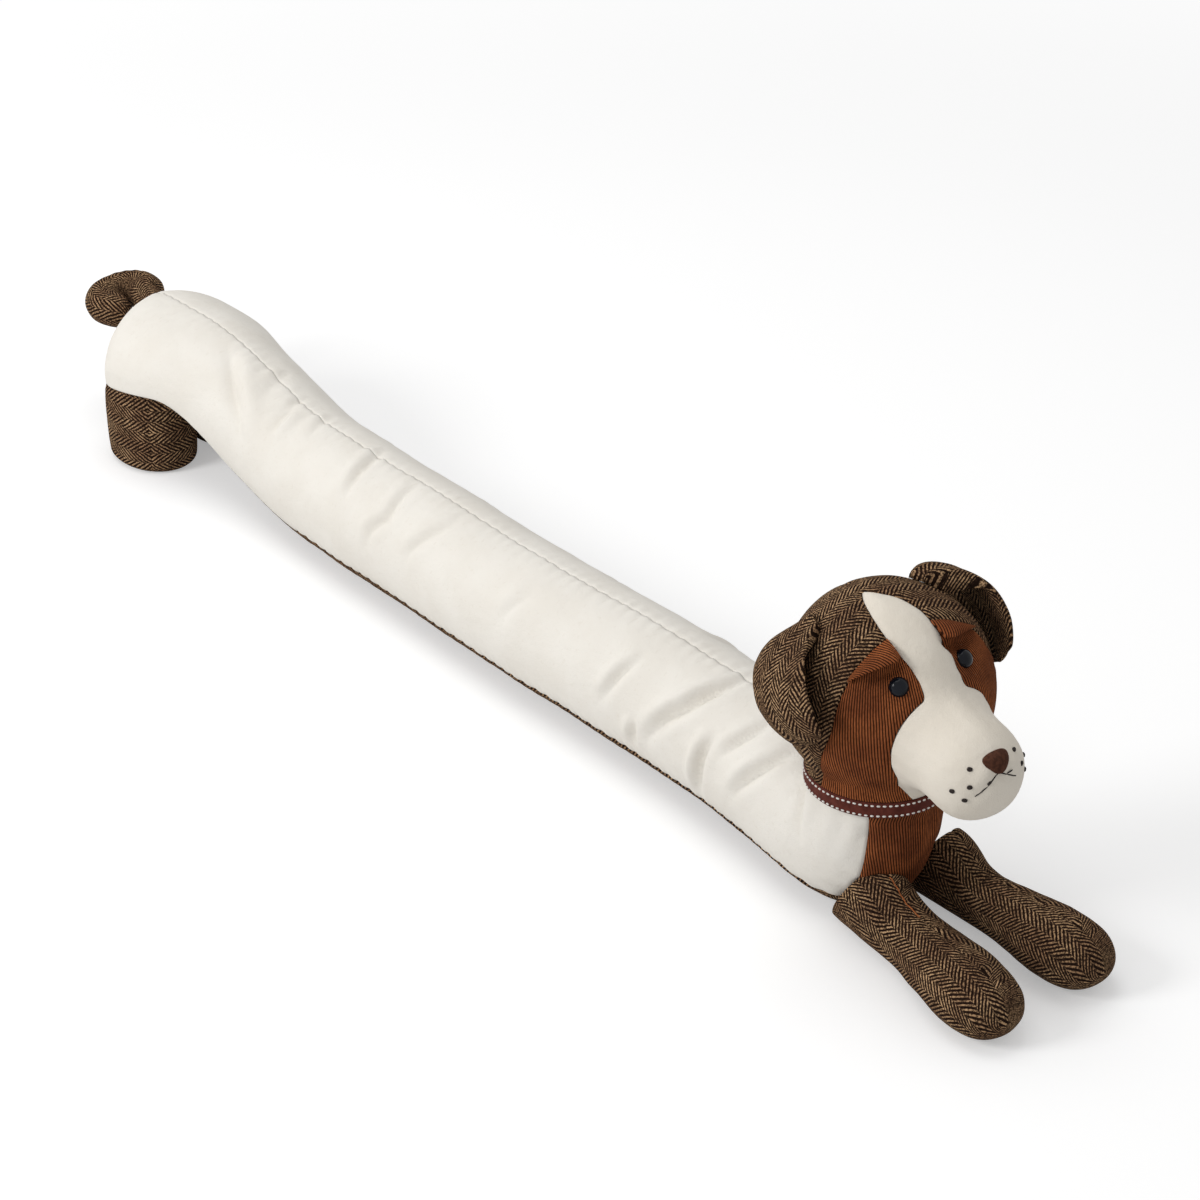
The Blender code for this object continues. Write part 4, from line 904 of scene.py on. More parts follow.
def crease_relief(along, turns):
    """How far creases draw the cloth in, and how far their lips push it out."""
    relief = np.zeros_like(along)
    arcs = np.radians(turns) * CREASE_RADIUS
    for depth, width, *stops in CREASES:
        places = np.array([(x, radians(turn) * CREASE_RADIUS) for x, turn in stops])
        reached = walked(places)
        nearest = np.full(along.shape, 1.0)
        share = np.zeros(along.shape)
        side = np.zeros(along.shape)
        for index, length in enumerate(np.diff(reached)):
            step = (places[index + 1] - places[index]) / length
            over = (along - places[index][0]) * step[0] + (arcs - places[index][1]) * step[1]
            held = np.clip(over, 0.0, length)
            away_x = along - places[index][0] - held * step[0]
            away_y = arcs - places[index][1] - held * step[1]
            away = np.hypot(away_x, away_y)
            closer = away < nearest
            nearest = np.where(closer, away, nearest)
            share = np.where(closer, (reached[index] + held) / reached[-1], share)
            side = np.where(closer, np.sign(away_x * step[1] - away_y * step[0]), side)
        strength = np.sin(pi * np.clip(share * 0.95 + 0.025, 0.0, 1.0)) ** 0.8
        valley = 0.6 * np.exp(-nearest / (0.55 * width)) + 0.4 * hump(nearest, width)
        lip = CREASE_LIP * hump(nearest - 1.6 * width, 1.3 * width) * (1.0 + CREASE_UNEVEN * side)
        relief += CREASE_STRENGTH * depth * strength * (lip - valley)
    return relief


def body_relief(raw, turns, to_base, to_spine, along):
    """Lumps, creases, seams and gathers of the body's cloth, as heights above its plain form."""
    relief = crease_relief(raw[..., 0], turns)
    relief += BODY_LUMP * lumps(raw, 15.0, 3.1) + BODY_RIPPLE * lumps(raw, 42.0, 7.7)
    open_side = smoothstep(RISE_REAR_X, RISE_FRONT_X, raw[..., 0])
    waves = np.sin(2.0 * pi * along / PUCKER_LENGTH + 3.0 * lumps(raw, 30.0, 1.3))
    for distance, depth, where in ((to_base, BASE_SEAM_DEPTH, open_side),
                                   (to_spine, SPINE_SEAM_DEPTH, 1.0)):
        relief -= depth * hump(distance, SEAM_WIDTH) * where
        relief += PUCKER_DEPTH * waves * hump(distance, PUCKER_REACH) * where
    under_hips = (raw[..., 0] < RISE_FRONT_X) & (to_base < HIP_CALM)
    relief = np.where(under_hips, relief * to_base / HIP_CALM * 0.5, relief)
    to_neck = along[-1:, :] - along
    gathers = np.sin(np.radians(turns) * GATHER_COUNT + 2.0 * lumps(raw, 25.0, 5.0))
    relief += GATHER_DEPTH * gathers * hump(to_neck, GATHER_REACH)
    return relief * smoothstep(*GATHER_CALM, to_neck)


def make_body(looks):
    raw, turns = body_rings(0.0)
    grid = bend(raw)
    lengths = ring_lengths(grid)
    total = lengths[:, -1:]
    here = lengths[:, :-1]
    spine = BASE_STEPS + COVER_STEPS
    from_spine = here - lengths[:, spine:spine + 1]
    to_base = np.minimum(np.abs(here - lengths[:, BASE_STEPS:BASE_STEPS + 1]),
                         np.minimum(here, total - here))
    along = np.repeat(walked(grid.mean(axis=1))[:, None], grid.shape[1], axis=1)
    worn = displace(grid, body_relief(raw, turns, to_base, np.abs(from_spine), along), BODY_LIFT)
    normals = grid_normals(worn, True)
    uv = np.stack([from_spine, along], -1)
    around = BASE_STEPS + 2 * COVER_STEPS
    columns = np.arange(around + 1) % grid.shape[1]
    neck = len(grid) - 1
    panels = (
        ("base_strip", 0, BASE_STEPS, 0, CHEST_START, "brown_tweed", "base_panel"),
        ("chest_corduroy", 0, BASE_STEPS, CHEST_START, neck, "rust_corduroy", "chest_panel"),
        ("cover_left_cloth", BASE_STEPS, spine, 0, neck, "cream_calico", "cover_left"),
        ("cover_right_cloth", spine, around, 0, neck, "cream_calico", "cover_right"),
    )
    for name, first, last, start, end, slot, node in panels:
        chosen = columns[first:last + 1]
        outer = worn[start:end + 1][:, chosen]
        for edge, inside in ((0, 1), (-1, -2)):
            outer[:, edge] += unit(outer[:, inside] - outer[:, edge]) * PANEL_GAP / 2.0
        for edge, inside in ((0, 1), (-1, -2)):
            outer[edge] += unit(outer[inside] - outer[edge]) * SEAM_GAP / 2.0
        inner = outer - normals[start:end + 1][:, chosen] * SKIN
        pattern = uv[start:end + 1][:, chosen]
        if last == around:
            pattern[:, -1, 0] = (total[:, 0] - lengths[:, spine])[start:end + 1]
        sheet_object(name, outer, inner, pattern, looks[slot], [node])
    inward = grid.mean(axis=1, keepdims=True) - worn
    filling = (worn + inward * WADDING_INSET)[2:-1]
    closing = np.concatenate([uv, uv[:, :1]], axis=1)[2:-1]
    tube_mesh("body_wadding", filling, closing, looks["white_wadding"],
              ["body_filling"])


def body_cutter():
    """A hidden solid of the body, a little proud, that the legs and the tail are cut to."""
    rings = bend(body_rings(-GAP)[0][::4, ::2])
    mesh = bpy.data.meshes.new("body_cutter")
    mesh.from_pydata([tuple(point) for point in rings.reshape(-1, 3)], [], capped_rings(rings))
    face_outward(mesh, triangulate=True)
    cutter = add_object("body_cutter", mesh)
    cutter.hide_render = True
    return cutter


def cut_to_body(item, cutter):
    """Cuts a piece to the body and keeps the result in its own mesh."""
    cut = item.modifiers.new("fit_to_body", 'BOOLEAN')
    cut.operation = 'DIFFERENCE'
    cut.solver = 'EXACT'
    cut.object = cutter
    bpy.context.view_layer.update()
    view = bpy.context.evaluated_depsgraph_get()
    mesh = bpy.data.meshes.new_from_object(item.evaluated_get(view))
    item.modifiers.clear()
    item.data = mesh
    mesh.shade_smooth()
    mesh.set_sharp_from_angle(angle=radians(60))


# Legs and tail

def tube_pattern(rings, seam_column):
    """Distances round each ring from a seam, and along the piece, for a closed tube."""
    lengths = ring_lengths(rings)
    total = lengths[:, -1:]
    from_seam = lengths - lengths[:, seam_column:seam_column + 1]
    from_seam = np.where(from_seam < -total / 2.0, from_seam + total, from_seam)
    run = walked(rings[:, seam_column])
    return np.stack([from_seam, np.repeat(run[:, None], lengths.shape[1], axis=1)], -1)


def soften(rings, amount, seed, seam):
    """Lumps, and a seam's groove and puckers, on a stuffed tube of rings."""
    relief = amount * (0.7 * lumps(rings, 38.0, seed) + 0.35 * lumps(rings, 90.0, seed + 2.0))
    lengths = ring_lengths(rings)
    distance = np.abs(lengths[:, :-1] - lengths[:, seam:seam + 1])
    distance = np.minimum(distance, lengths[:, -1:] - distance)
    run = np.linspace(0.0, 1.0, len(rings))[:, None]
    waves = np.sin(run * 90.0 + 2.0 * lumps(rings, 60.0, seed + 5.0))
    relief -= LEG_SEAM_DEPTH * hump(distance, LEG_SEAM_WIDTH)
    relief += LEG_PUCKER * waves * hump(distance, LEG_PUCKER_REACH)
    return displace(rings, relief, LEG_LIFT)


def tweed_tube(name, rings, pattern, cutter, looks):
    """A stuffed tweed tube that is sewn to the body."""
    item = tube_mesh(name + "_tweed", rings, pattern, looks["brown_tweed"],
                     [name])
    cut_to_body(item, cutter)


def front_leg_rings(near):
    """Rings of a front leg along +X, from its root to the tip of its paw."""
    angles = np.linspace(-pi, pi, LEG_SIDES + 1)[:-1]
    rings = []
    for step in range(LEG_STEPS + 1):
        along = 1.0 - (1.0 - step / LEG_STEPS) ** PAW_CROWDING
        paw = float(smoothstep(PAW_START, PAW_END, along))
        root = 1.0 - float(smoothstep(0.0, SHOULDER_END, along))
        height = FRONT_LEG_HEIGHT + (FRONT_PAW_HEIGHT - FRONT_LEG_HEIGHT) * paw
        height += (SHOULDER_HEIGHT - FRONT_LEG_HEIGHT) * root
        width = FRONT_LEG_WIDTH + (FRONT_PAW_WIDTH - FRONT_LEG_WIDTH) * paw
        width += (FRONT_ROOT_WIDTH - FRONT_LEG_WIDTH) * root
        fuller = sin(pi * min(1.0, along / NEAR_LEG_FULL_END)) ** 1.5 if near else 0.0
        width += NEAR_LEG_FULLER * fuller
        tip = max(0.0, (along - PAW_TIP_START) / (1.0 - PAW_TIP_START))
        size = max(0.0, 1.0 - tip ** PAW_SQUARENESS) ** (1.0 / PAW_SQUARENESS)
        size = max(TIP_LEAST, size)
        middle = height * LEG_MIDDLE
        x = FRONT_LEG_LENGTH * along
        top = (x + SHOULDER_LEAN * root, middle + (height - middle) * size)
        bottom = (x, middle - (middle + FLOOR_PRESS) * size)
        ring = section(top, bottom, width / 2.0 * size, 0.0, angles, 0.0)
        ring[:, 1] += NEAR_LEG_SHIFT * fuller
        rings.append(ring)
    return np.array(rings)


def front_leg(name, y, angle, cutter, looks):
    near = y < 0.0
    rings = front_leg_rings(near)
    turned = rings.copy()
    turned[..., 0] = FRONT_LEG_X + rings[..., 0] * cos(angle) - rings[..., 1] * sin(angle)
    turned[..., 1] = y + rings[..., 0] * sin(angle) + rings[..., 1] * cos(angle)
    turned = soften(turned, LEG_LUMP, 11.0 + y, 0)
    tweed_tube(name, turned, tube_pattern(turned, 0), cutter, looks)
    if near:
        rows = slice(*SEAM_THREAD_ROWS)
        facing = grid_normals(turned, True)[rows, 0]
        line = turned[rows, 0] + facing * SEAM_THREAD_RADIUS * 0.5
        rings = sweep(line, facing, [SEAM_THREAD_RADIUS] * len(line), 8)
        threads_object(name + "_seam_thread", [rings], looks["orange_thread"],
                       [])


def rear_leg(name, y, cutter, looks):
    """A short upright leg: rounded under the foot, swelling above it, drawn in at the hips."""
    angles = np.linspace(0.0, 2.0 * pi, REAR_LEG_SIDES + 1)[:-1]
    edge = REAR_LEG_EDGE
    top = REAR_LEG_HEIGHT + REAR_LEG_SINK
    levels = [(0.0, -edge * 3.0), (0.0, -edge * 1.6)]
    for turn in np.linspace(0.0, pi / 2.0, 9):
        levels.append((edge * (1.0 - cos(turn)), -edge * (1.0 - sin(turn))))
    for share in np.linspace(0.0, 1.0, 25)[1:]:
        growth = REAR_LEG_BULGE * sin(pi * min(share / REAR_LEG_BULGE_END, 1.0))
        drawn_in = (share - REAR_LEG_BULGE_END) / (1.0 - REAR_LEG_BULGE_END)
        levels.append((edge + (top - edge) * share, growth - REAR_LEG_TUCK * max(0.0, drawn_in)))
    rings = []
    for z, growth in levels:
        x = REAR_LEG_X + (REAR_LEG_LENGTH / 2.0 + growth) * np.cos(angles)
        side = y + (REAR_LEG_WIDTH / 2.0 + min(growth, REAR_LEG_SIDE_BULGE)) * np.sin(angles)
        rings.append(np.stack([x, side, np.full(len(angles), z)], axis=1))
    seam = REAR_SEAM_COLUMN if y < 0.0 else REAR_LEG_SIDES - REAR_SEAM_COLUMN
    rings = soften(np.array(rings), LEG_LUMP, 17.0 + y, seam)
    pattern = tube_pattern(rings, seam)
    pattern = np.stack([pattern[..., 1], np.abs(pattern[..., 0])], -1) * REAR_WEAVE
    tweed_tube(name, rings, pattern, cutter, looks)


def make_tail(cutter, looks):
    """A short straight root and a curl that is tucked in under it."""
    start = np.array([TAIL_CURL_X + TAIL_CURL_RADIUS * cos(TAIL_CURL_START),
                      TAIL_CURL_Y + TAIL_CURL_RADIUS * sin(TAIL_CURL_START), TAIL_HEIGHT])
    root = np.array([HIP_X - REAR_REACH + TAIL_RADIUS, 0.0, TAIL_HEIGHT])
    path = [root + (start - root) * share for share, thick in TAIL_ROOT]
    radii = [TAIL_RADIUS * thick for share, thick in TAIL_ROOT]
    for step in range(TAIL_STEPS + 1):
        share = step / TAIL_STEPS
        turn = TAIL_CURL_START + (TAIL_TUCK_END - TAIL_CURL_START) * share
        dip = TAIL_DIP * (1.0 - cos(turn - TAIL_CURL_START)) / 2.0 + TAIL_TUCK * share ** 3
        path.append(np.array([TAIL_CURL_X + TAIL_CURL_RADIUS * cos(turn),
                              TAIL_CURL_Y + TAIL_CURL_RADIUS * sin(turn), TAIL_HEIGHT - dip]))
        tip = max(0.0, (share - TAIL_TIP_START) / (1.0 - TAIL_TIP_START))
        radii.append(TAIL_RADIUS * TAIL_SWELL * max(0.10, sqrt(max(0.0, 1.0 - tip * tip))))
    rings = sweep(path, [(0.0, 0.0, 1.0)] * len(path), radii, TAIL_SIDES)
    rings = soften(rings, TAIL_LUMP, 23.0, TAIL_SEAM_COLUMN)
    tweed_tube("tail", rings, tube_pattern(rings, TAIL_SEAM_COLUMN), cutter, looks)


# Head

def polyline_distance(points, path):
    """How far points lie from a path of straight pieces."""
    nearest = np.full(len(points), 1.0)
    for first, last in zip(path[:-1], path[1:]):
        step = last - first
        share = np.clip((points - first) @ step / (step @ step), 0.0, 1.0)
        nearest = np.minimum(nearest, np.linalg.norm(points - first - share[:, None] * step, axis=1))
    return nearest


def on_muzzle(across, above):
    """A point on the ball of the muzzle, from its distances to the left and above the middle."""
    forward = sqrt(MUZZLE_RADIUS ** 2 - across ** 2 - above ** 2)
    return np.array([MUZZLE_REACH + forward, across, above - MUZZLE_DROP])


def brow_hollow(points):
    """The cheek sinks in below the fold of cloth over each eye."""
    side = np.abs(points[:, 1])
    foot = np.array(BROW_FOOT)
    below = np.interp(side, foot[:, 1], foot[:, 2]) - points[:, 2]
    window = smoothstep(foot[0, 1] - 0.004, foot[1, 1], side)
    window = window * (1.0 - smoothstep(foot[2, 1], foot[-1, 1], side)) * (points[:, 0] > 0.0)
    return window * BROW_HOLLOW * hump(below - BROW_HOLLOW_DROP, BROW_HOLLOW_REACH)


def head_relief(points):
    """Seams, folds, the mouth and lumps of the stuffed head, as heights above its plain form."""
    flat = np.asarray(points, float).reshape(-1, 3)
    muzzle = muzzle_field(flat)
    relief = HEAD_LUMP * lumps(flat, 20.0, 4.0) + HEAD_RIPPLE * lumps(flat, 55.0, 9.0)
    relief += MUZZLE_RISE * smoothstep(0.0, MUZZLE_RISE_REACH, muzzle)
    waves = np.sin(2.0 * pi * (flat[:, 1] + flat[:, 2]) / PUCKER_LENGTH
                   + 4.0 * lumps(flat, 40.0, 2.0))
    for distance, where in ((muzzle, 1.0), (cheek_field(flat), muzzle < 0.0)):
        relief -= SEAM_DEPTH * hump(distance, SEAM_WIDTH) * where
        relief += HEAD_PUCKER_DEPTH * waves * hump(distance, HEAD_PUCKER_REACH) * where
    behind = 1.0 - smoothstep(BLAZE_TIP_X - 0.006, BLAZE_TIP_X + 0.002, flat[:, 0])
    crown_seam = hump(flat[:, 1], CROWN_SEAM_WIDTH) * behind * (flat[:, 2] > 0.0)
    relief -= CROWN_SEAM_DEPTH * crown_seam + brow_hollow(flat)
    for side in (-1.0, 1.0):
        away = np.linalg.norm(flat - head_surface(eye_target(side))[0], axis=1)
        relief -= EYE_DIMPLE * np.exp(-(away / EYE_DIMPLE_REACH) ** 4)
        away = np.linalg.norm(flat - on_muzzle(side * LIP_PLACE[0], LIP_PLACE[1]), axis=1)
        relief += LIP_RISE * hump(away, LIP_REACH)
    mouth = np.array([on_muzzle(across, above) for across, above in MOUTH_STOPS])
    relief -= MOUTH_DEPTH * hump(polyline_distance(flat, mouth), MOUTH_WIDTH)
    relief *= smoothstep(0.0, HEAD_CALM, neck_plane_distance(flat))
    return relief.reshape(np.asarray(points).shape[:-1])


def seat_on_neck(points, world, reach):
    """Draws the foot of the head out to the collar, which sits a little off its middle."""
    middle = bend(np.array([NECK_X, 0.0, NECK_Z]))
    away = world[:, :2] - middle[:2]
    radius = np.linalg.norm(away, axis=1)
    near = 1.0 - smoothstep(0.0, NECK_BLEND, neck_plane_distance(points))
    wider = radius + near * np.maximum(reach - radius, 0.0)
    world = world.copy()
    world[:, :2] = middle[:2] + away * (wider / np.maximum(radius, 1e-6))[:, None]
    return world


def crown_pattern(points):
    """Columns from ear to ear over the crown, and upright ones on the back of the head."""
    middle = points.mean(axis=0)
    on_top = middle[0] > CROWN_SPLIT_X
    turn = np.arctan2(points[:, 1], points[:, 2] if on_top else -points[:, 0])
    centre = np.arctan2(middle[1], middle[2] if on_top else -middle[0])
    arc = HEAD_RADIUS * (centre + (turn - centre + pi) % (2.0 * pi) - pi)
    if not on_top:
        return np.stack([arc, points[:, 2]], -1)
    run = HEAD_RADIUS * np.arcsin(np.clip(points[:, 0] / HEAD_RADIUS, -1.0, 1.0))
    return np.stack([run - CHEEK_SEAM_X, arc], -1)


def cheek_pattern(points):
    """Upright columns round the head."""
    turn = np.arctan2(points[:, 1], points[:, 0])
    return np.stack([HEAD_RADIUS * turn, points[:, 2]], -1)


def skin_panel(name, skin, pattern, material, node):
    """A thin closed piece of the head's cloth, with its relief."""
    points, normals, triangles = skin
    outer = points + normals * head_relief(points)[:, None]
    inner = outer - normals * SKIN
    count = len(points)
    faces = list(triangles)
    faces += [(c + count, b + count, a + count) for a, b, c in triangles]
    for a, b in boundary_edges(triangles):
        faces += [(b, a, a + count), (b, a + count, b + count)]
    plain = np.concatenate([points, points])
    corners = np.concatenate([pattern(plain[list(face)]) for face in faces])
    world = np.concatenate([seat_on_neck(points, head_to_world(outer), NECK_REACH),
                            seat_on_neck(points, head_to_world(inner), NECK_REACH - SKIN)])
    finish_mesh(name, world, faces, corners, material, [node])


def head_wadding(skin, looks):
    """The stuffing of the head, closed at the neck by a fan round its middle."""
    points, normals, triangles = skin
    depth = head_relief(points) - CLOTH - FILLING_GAP
    points = points + normals * depth[:, None]
    points, normals, triangles = cut_skin((points, normals, triangles),
                                          neck_plane_distance(points), SEAM_GAP)
    rim = boundary_edges(triangles)
    centre = points[[a for a, b in rim]].mean(axis=0)
    faces = list(triangles) + [(b, a, len(points)) for a, b in rim]
    points = np.concatenate([points, [centre]])
    world = seat_on_neck(points, head_to_world(points), NECK_REACH - CLOTH - FILLING_GAP)
    world[-1] = head_to_world(centre)
    finish_mesh("head_wadding", world, faces, None, looks["white_wadding"],
                ["head_filling"])


def make_head(looks):
    directions, triangles = skull_mesh()
    skin = (*head_surface(directions), triangles)
    seat = SEAM_GAP / 2.0
    whole = cut_skin(skin, neck_plane_distance(skin[0]), seat)
    muzzle = cut_skin(whole, muzzle_field(whole[0]), seat)
    rest = cut_skin(whole, -muzzle_field(whole[0]), seat)
    cheeks = cut_skin(rest, cheek_field(rest[0]), seat)
    crown = cut_skin(rest, -cheek_field(rest[0]), seat)
    # the muzzle wears the copy of the cream with painted shade and painted warm bounce light
    skin_panel("muzzle_shaded_calico", muzzle, cheek_pattern, looks["muzzle"],
               "muzzle_panel")
    skin_panel("crown_tweed", crown, crown_pattern, looks["brown_tweed"],
               "head_crown")
    for word, side in SIDES:
        cheek = cut_skin(cheeks, side * cheeks[0][:, 1], seat)
        skin_panel(f"cheek_{word}_corduroy", cheek, cheek_pattern, looks["rust_corduroy"],
                   f"cheek_{word}")
    head_wadding(skin, looks)


# Face

def face_axes(normal):
    """Sideways and upward directions on the head's surface."""
    across = unit(np.cross((0.0, 0.0, 1.0), normal))
    return across, np.cross(normal, across)


def eye_target(side):
    return np.array([EYE_X, side * EYE_Y + EYE_SHIFT, EYE_Z])


def eye_outline(turns):
    return EYE_RADIUS * np.cos(turns), EYE_RADIUS * np.sin(turns)


def nose_outline(turns):
    """A rounded triangle, wide and flat above and narrow below."""
    upper = np.sin(turns) > 0.0
    sideways = NOSE_HALF_WIDTH * np.cos(turns) * (1.0 + NOSE_TAPER * np.sin(turns))
    upward = NOSE_HALF_HEIGHT * np.abs(np.sin(turns)) ** np.where(upper, 0.80, 1.10)
    return sideways, np.where(upper, upward, -upward)


def head_pad(name, centre, outline, height, rings, sides, slot, node, looks):
    """A domed pad on the head: outline gives its reach for the turns round the centre."""
    point, normal = head_surface(centre)
    across, upward = face_axes(normal)
    lift = float(head_relief(point[None, :])[0]) - PAD_SINK
    shares = np.sin(pi / 2.0 * (np.arange(rings + 1) + 0.15) / (rings + 0.15))[:, None]
    sideways, up = outline(2.0 * pi * np.arange(sides) / sides)
    targets = point + across * (sideways * shares)[..., None] + upward * (up * shares)[..., None]
    rises = lift + height * np.sqrt(np.maximum(0.0, 1.0 - shares ** 2.4))
    tiers = head_surface(targets)[0] + normal * rises[..., None]
    foot = tiers[-1:] - normal * (PAD_SINK + PAD_FOOT)
    grid = head_to_world(np.concatenate([tiers, foot]))
    tube_mesh(name, grid, tube_pattern(grid, 0), looks[slot], [node])


def face_thread(stops, radius, lift):
    """A thread across the muzzle through stops, given to the left and above its middle."""
    stops = np.array(stops, float)
    shares = np.linspace(0.0, len(stops) - 1.0, 10 * (len(stops) - 1) + 1)
    lines = [np.interp(shares, np.arange(len(stops)), stops[:, axis]) for axis in (0, 1)]
    if len(stops) > 2:
        lines = [average(line, 7) for line in lines]
    places, facings = head_surface([on_muzzle(across, above) for across, above in zip(*lines)])
    path = head_to_world(places + facings * (head_relief(places) + lift)[:, None])
    ends = np.minimum(shares, shares[::-1]) * 10.0
    radii = radius * np.clip(0.35 + 0.32 * ends, 0.35, 1.0)
    return sweep(path, facings @ head_axes(), radii, THREAD_SIDES)


def knot_rings(across, above, spin):
    """A small coiled knot on the muzzle."""
    centre, facing = head_surface(on_muzzle(across, above))
    side, upward = face_axes(facing)
    rise = float(head_relief(centre[None, :])[0])
    share = np.linspace(0.0, 1.0, 31)[:, None]
    turn = spin + 2.0 * pi * KNOT_COILS * share
    reach = KNOT_REACH * (1.0 - 0.55 * share)
    path = head_to_world(centre + side * reach * 1.25 * np.cos(turn)
                         + upward * reach * 0.9 * np.sin(turn)
                         + facing * (rise + 0.0001 + 0.0004 * share))
    return sweep(path, [facing @ head_axes()] * len(path), [KNOT_THREAD] * len(path),
                 THREAD_SIDES)


def make_brow(name, side, looks):
    """A fold of the cheek's cloth that hangs over the eye and stands off at its free edge."""
    stops = np.linspace(0.0, 1.0, len(BROW_RISES))
    shares = np.linspace(0.0, 1.0, BROW_COLUMNS + 1)
    seam, foot = (np.stack([np.interp(shares, stops, axis) for axis in zip(*edge)], -1)
                  * (1.0, side, 1.0) for edge in (BROW_SEAM, BROW_FOOT))
    share = np.linspace(0.0, 1.0, BROW_ROWS + 1)[:, None]
    places, facings = head_surface(seam + (foot - seam) * share[..., None])
    edge = np.maximum(0.0, (share - BROW_EDGE_START) / (1.0 - BROW_EDGE_START))
    half = (BROW_CLOTH + (BROW_FOLD - BROW_CLOTH) * share) / 2.0
    half = half * np.maximum(0.12, np.sqrt(np.maximum(0.0, 1.0 - edge ** 2)))
    rises = average(np.interp(shares, stops, BROW_RISES), 9)
    middle = rises * np.sin(pi / 2.0 * share) ** 1.3 - BROW_TUCK * (1.0 - share)
    outer = head_to_world(places + facings * (middle + half)[..., None])
    inner = head_to_world(places + facings * (middle - half)[..., None])
    run = walked(outer)
    uv = np.stack([ring_lengths(outer, closed=False) + 0.3 * run, run], -1)
    if side < 0.0:
        outer, inner, uv = outer[:, ::-1], inner[:, ::-1], uv[:, ::-1]
    sheet_object(name, outer, inner, uv, looks["rust_corduroy"], [])


def make_face(looks):
    for word, side in SIDES:
        make_brow(f"brow_{word}_fold", side, looks)
    for word, side in SIDES:
        head_pad(f"eye_{word}_dome", eye_target(side), eye_outline, EYE_HEIGHT, 14, 48,
                 "black_plastic", f"eye_{word}", looks)
    head_pad("nose_pad", (NOSE_FORWARD, NOSE_Y - NOSE_SHIFT, NOSE_Z - NOSE_SINK), nose_outline,
             NOSE_HEIGHT, 16, 64, "nose_cloth", "nose", looks)
    for word, side in SIDES:
        for number, (across, above) in enumerate(WHISKER_SPOTS, 1):
            if side > 0.0 and number > 2:
                across += FAR_KNOT_SHIFT
            rings = knot_rings(side * across, above, number * 1.7)
            threads_object(f"whisker_{word}_{number}_knot", [rings], looks["black_thread"],
                           [f"whisker_{word}_{number}"])
    threads = [face_thread(MOUTH_STOPS, MOUTH_LINE_RADIUS, MOUTH_LIFT)]
    threads += [face_thread(stops, radius, CROSS_LIFT)
                for stops, radius in zip(CROSS_STITCHES, CROSS_RADII)]
    threads_object("mouth_stitches", threads, looks["black_thread"],
                   ["mouth_thread"])


# Ears

def make_ear(name, side, arch_lift, peak, root, looks):
    """A lined ear in rows from its root to its tip, arched off the head's surface."""
    share = np.linspace(0.0, 1.0, EAR_ROWS + 1)[:, None]
    across = np.linspace(-1.0, 1.0, EAR_COLUMNS + 1)
    stops = np.linspace(0.0, 1.0, len(EAR_FRONT_EDGE))
    front = np.interp(share, stops, EAR_FRONT_EDGE)
    if side < 0.0:
        front = front - EAR_RIGHT_FORWARD * np.sin(pi * share)
    back = np.interp(share, stops, EAR_BACK_EDGE)
    turn = ((front + back) / 2.0 + (front - back) / 2.0 * across) * side
    tilt = EAR_ROOT_RISE + (EAR_TIP_RISE - EAR_ROOT_RISE) * share + EAR_DROOP * across * share
    places, facings = head_surface(np.stack([np.cos(tilt) * np.cos(turn),
                                             np.cos(tilt) * np.sin(turn), np.sin(tilt)], -1))
    lift = arch_lift * np.sin(pi * share ** (log(0.5) / log(peak))) + EAR_TIP_LIFT * share
    flare = np.maximum(across, 0.0) ** 2 * np.sin(pi * np.minimum(1.0, share * 1.15)) ** 0.8
    heights = GAP + lift * (1.0 - across * across / 4.0) + EAR_FLARE * flare
    end = np.maximum(0.0, (share - EAR_TIP_START) / (1.0 - EAR_TIP_START)) ** 2.5
    swell = np.sqrt(np.maximum(0.0, 1.0 - np.abs(across) ** 5) * np.maximum(0.0, 1.0 - end))
    thickness = EAR_THICKNESS * np.maximum(EAR_LEAST, swell)
    base = heights + (EAR_THICKNESS * 0.75 - thickness) * 0.5
    uneven = EAR_LUMP * lumps(places, 45.0, 31.0 + side) + EAR_RIPPLE * lumps(places, 110.0, 37.0)
    under = GAP + (base + 0.6 * uneven - GAP) * smoothstep(*root, share)
    inner = head_to_world(places + facings * under[..., None])
    outer = head_to_world(places + facings * (base + thickness + uneven)[..., None])
    lengths = ring_lengths(outer, closed=False)
    middle = lengths[:, EAR_COLUMNS // 2:EAR_COLUMNS // 2 + 1]
    uv = np.stack([lengths - middle + EAR_COLUMN_SHIFT, walked(outer)], -1)
    sheet_object(name + "_tweed", outer, inner, uv, looks["brown_tweed"],
                 [name])


# Collar

def collar_ring(drop, out, count):
    """Points round the neck, at a distance below its seam and out from the cloth."""
    axis, nape, throat = neck_points()
    angles = np.linspace(-pi, pi, count + 1)[:-1]
    return bend(section(nape - axis * drop, throat - axis * drop, NECK_RADIUS, 0.0, angles,
                        -GAP - out))


def make_ribbon(looks):
    """The ribbon's section carried round the neck."""
    profile = np.array(RIBBON_PROFILE + RIBBON_PROFILE[:1])
    loops = [collar_ring(COLLAR_DROP + COLLAR_WIDTH * across, COLLAR_THICKNESS * out,
                         RIBBON_SIDES) for across, out in RIBBON_PROFILE]
    around = np.linspace(0.0, 2.0 * pi * NECK_RADIUS, RIBBON_SIDES + 1)
    pattern = np.stack(np.meshgrid(around, profile[:, 0] * COLLAR_WIDTH), -1).reshape(-1, 2)
    faces = ring_quads(len(profile), RIBBON_SIDES) % (len(RIBBON_PROFILE) * RIBBON_SIDES)
    corners = pattern[grid_quads(len(profile), RIBBON_SIDES + 1).ravel()]
    ribbon = finish_mesh("ribbon_collar", np.concatenate(loops), faces.tolist(), corners,
                         looks["collar_ribbon"], ["collar_ribbon"])
    face_outward(ribbon.data)


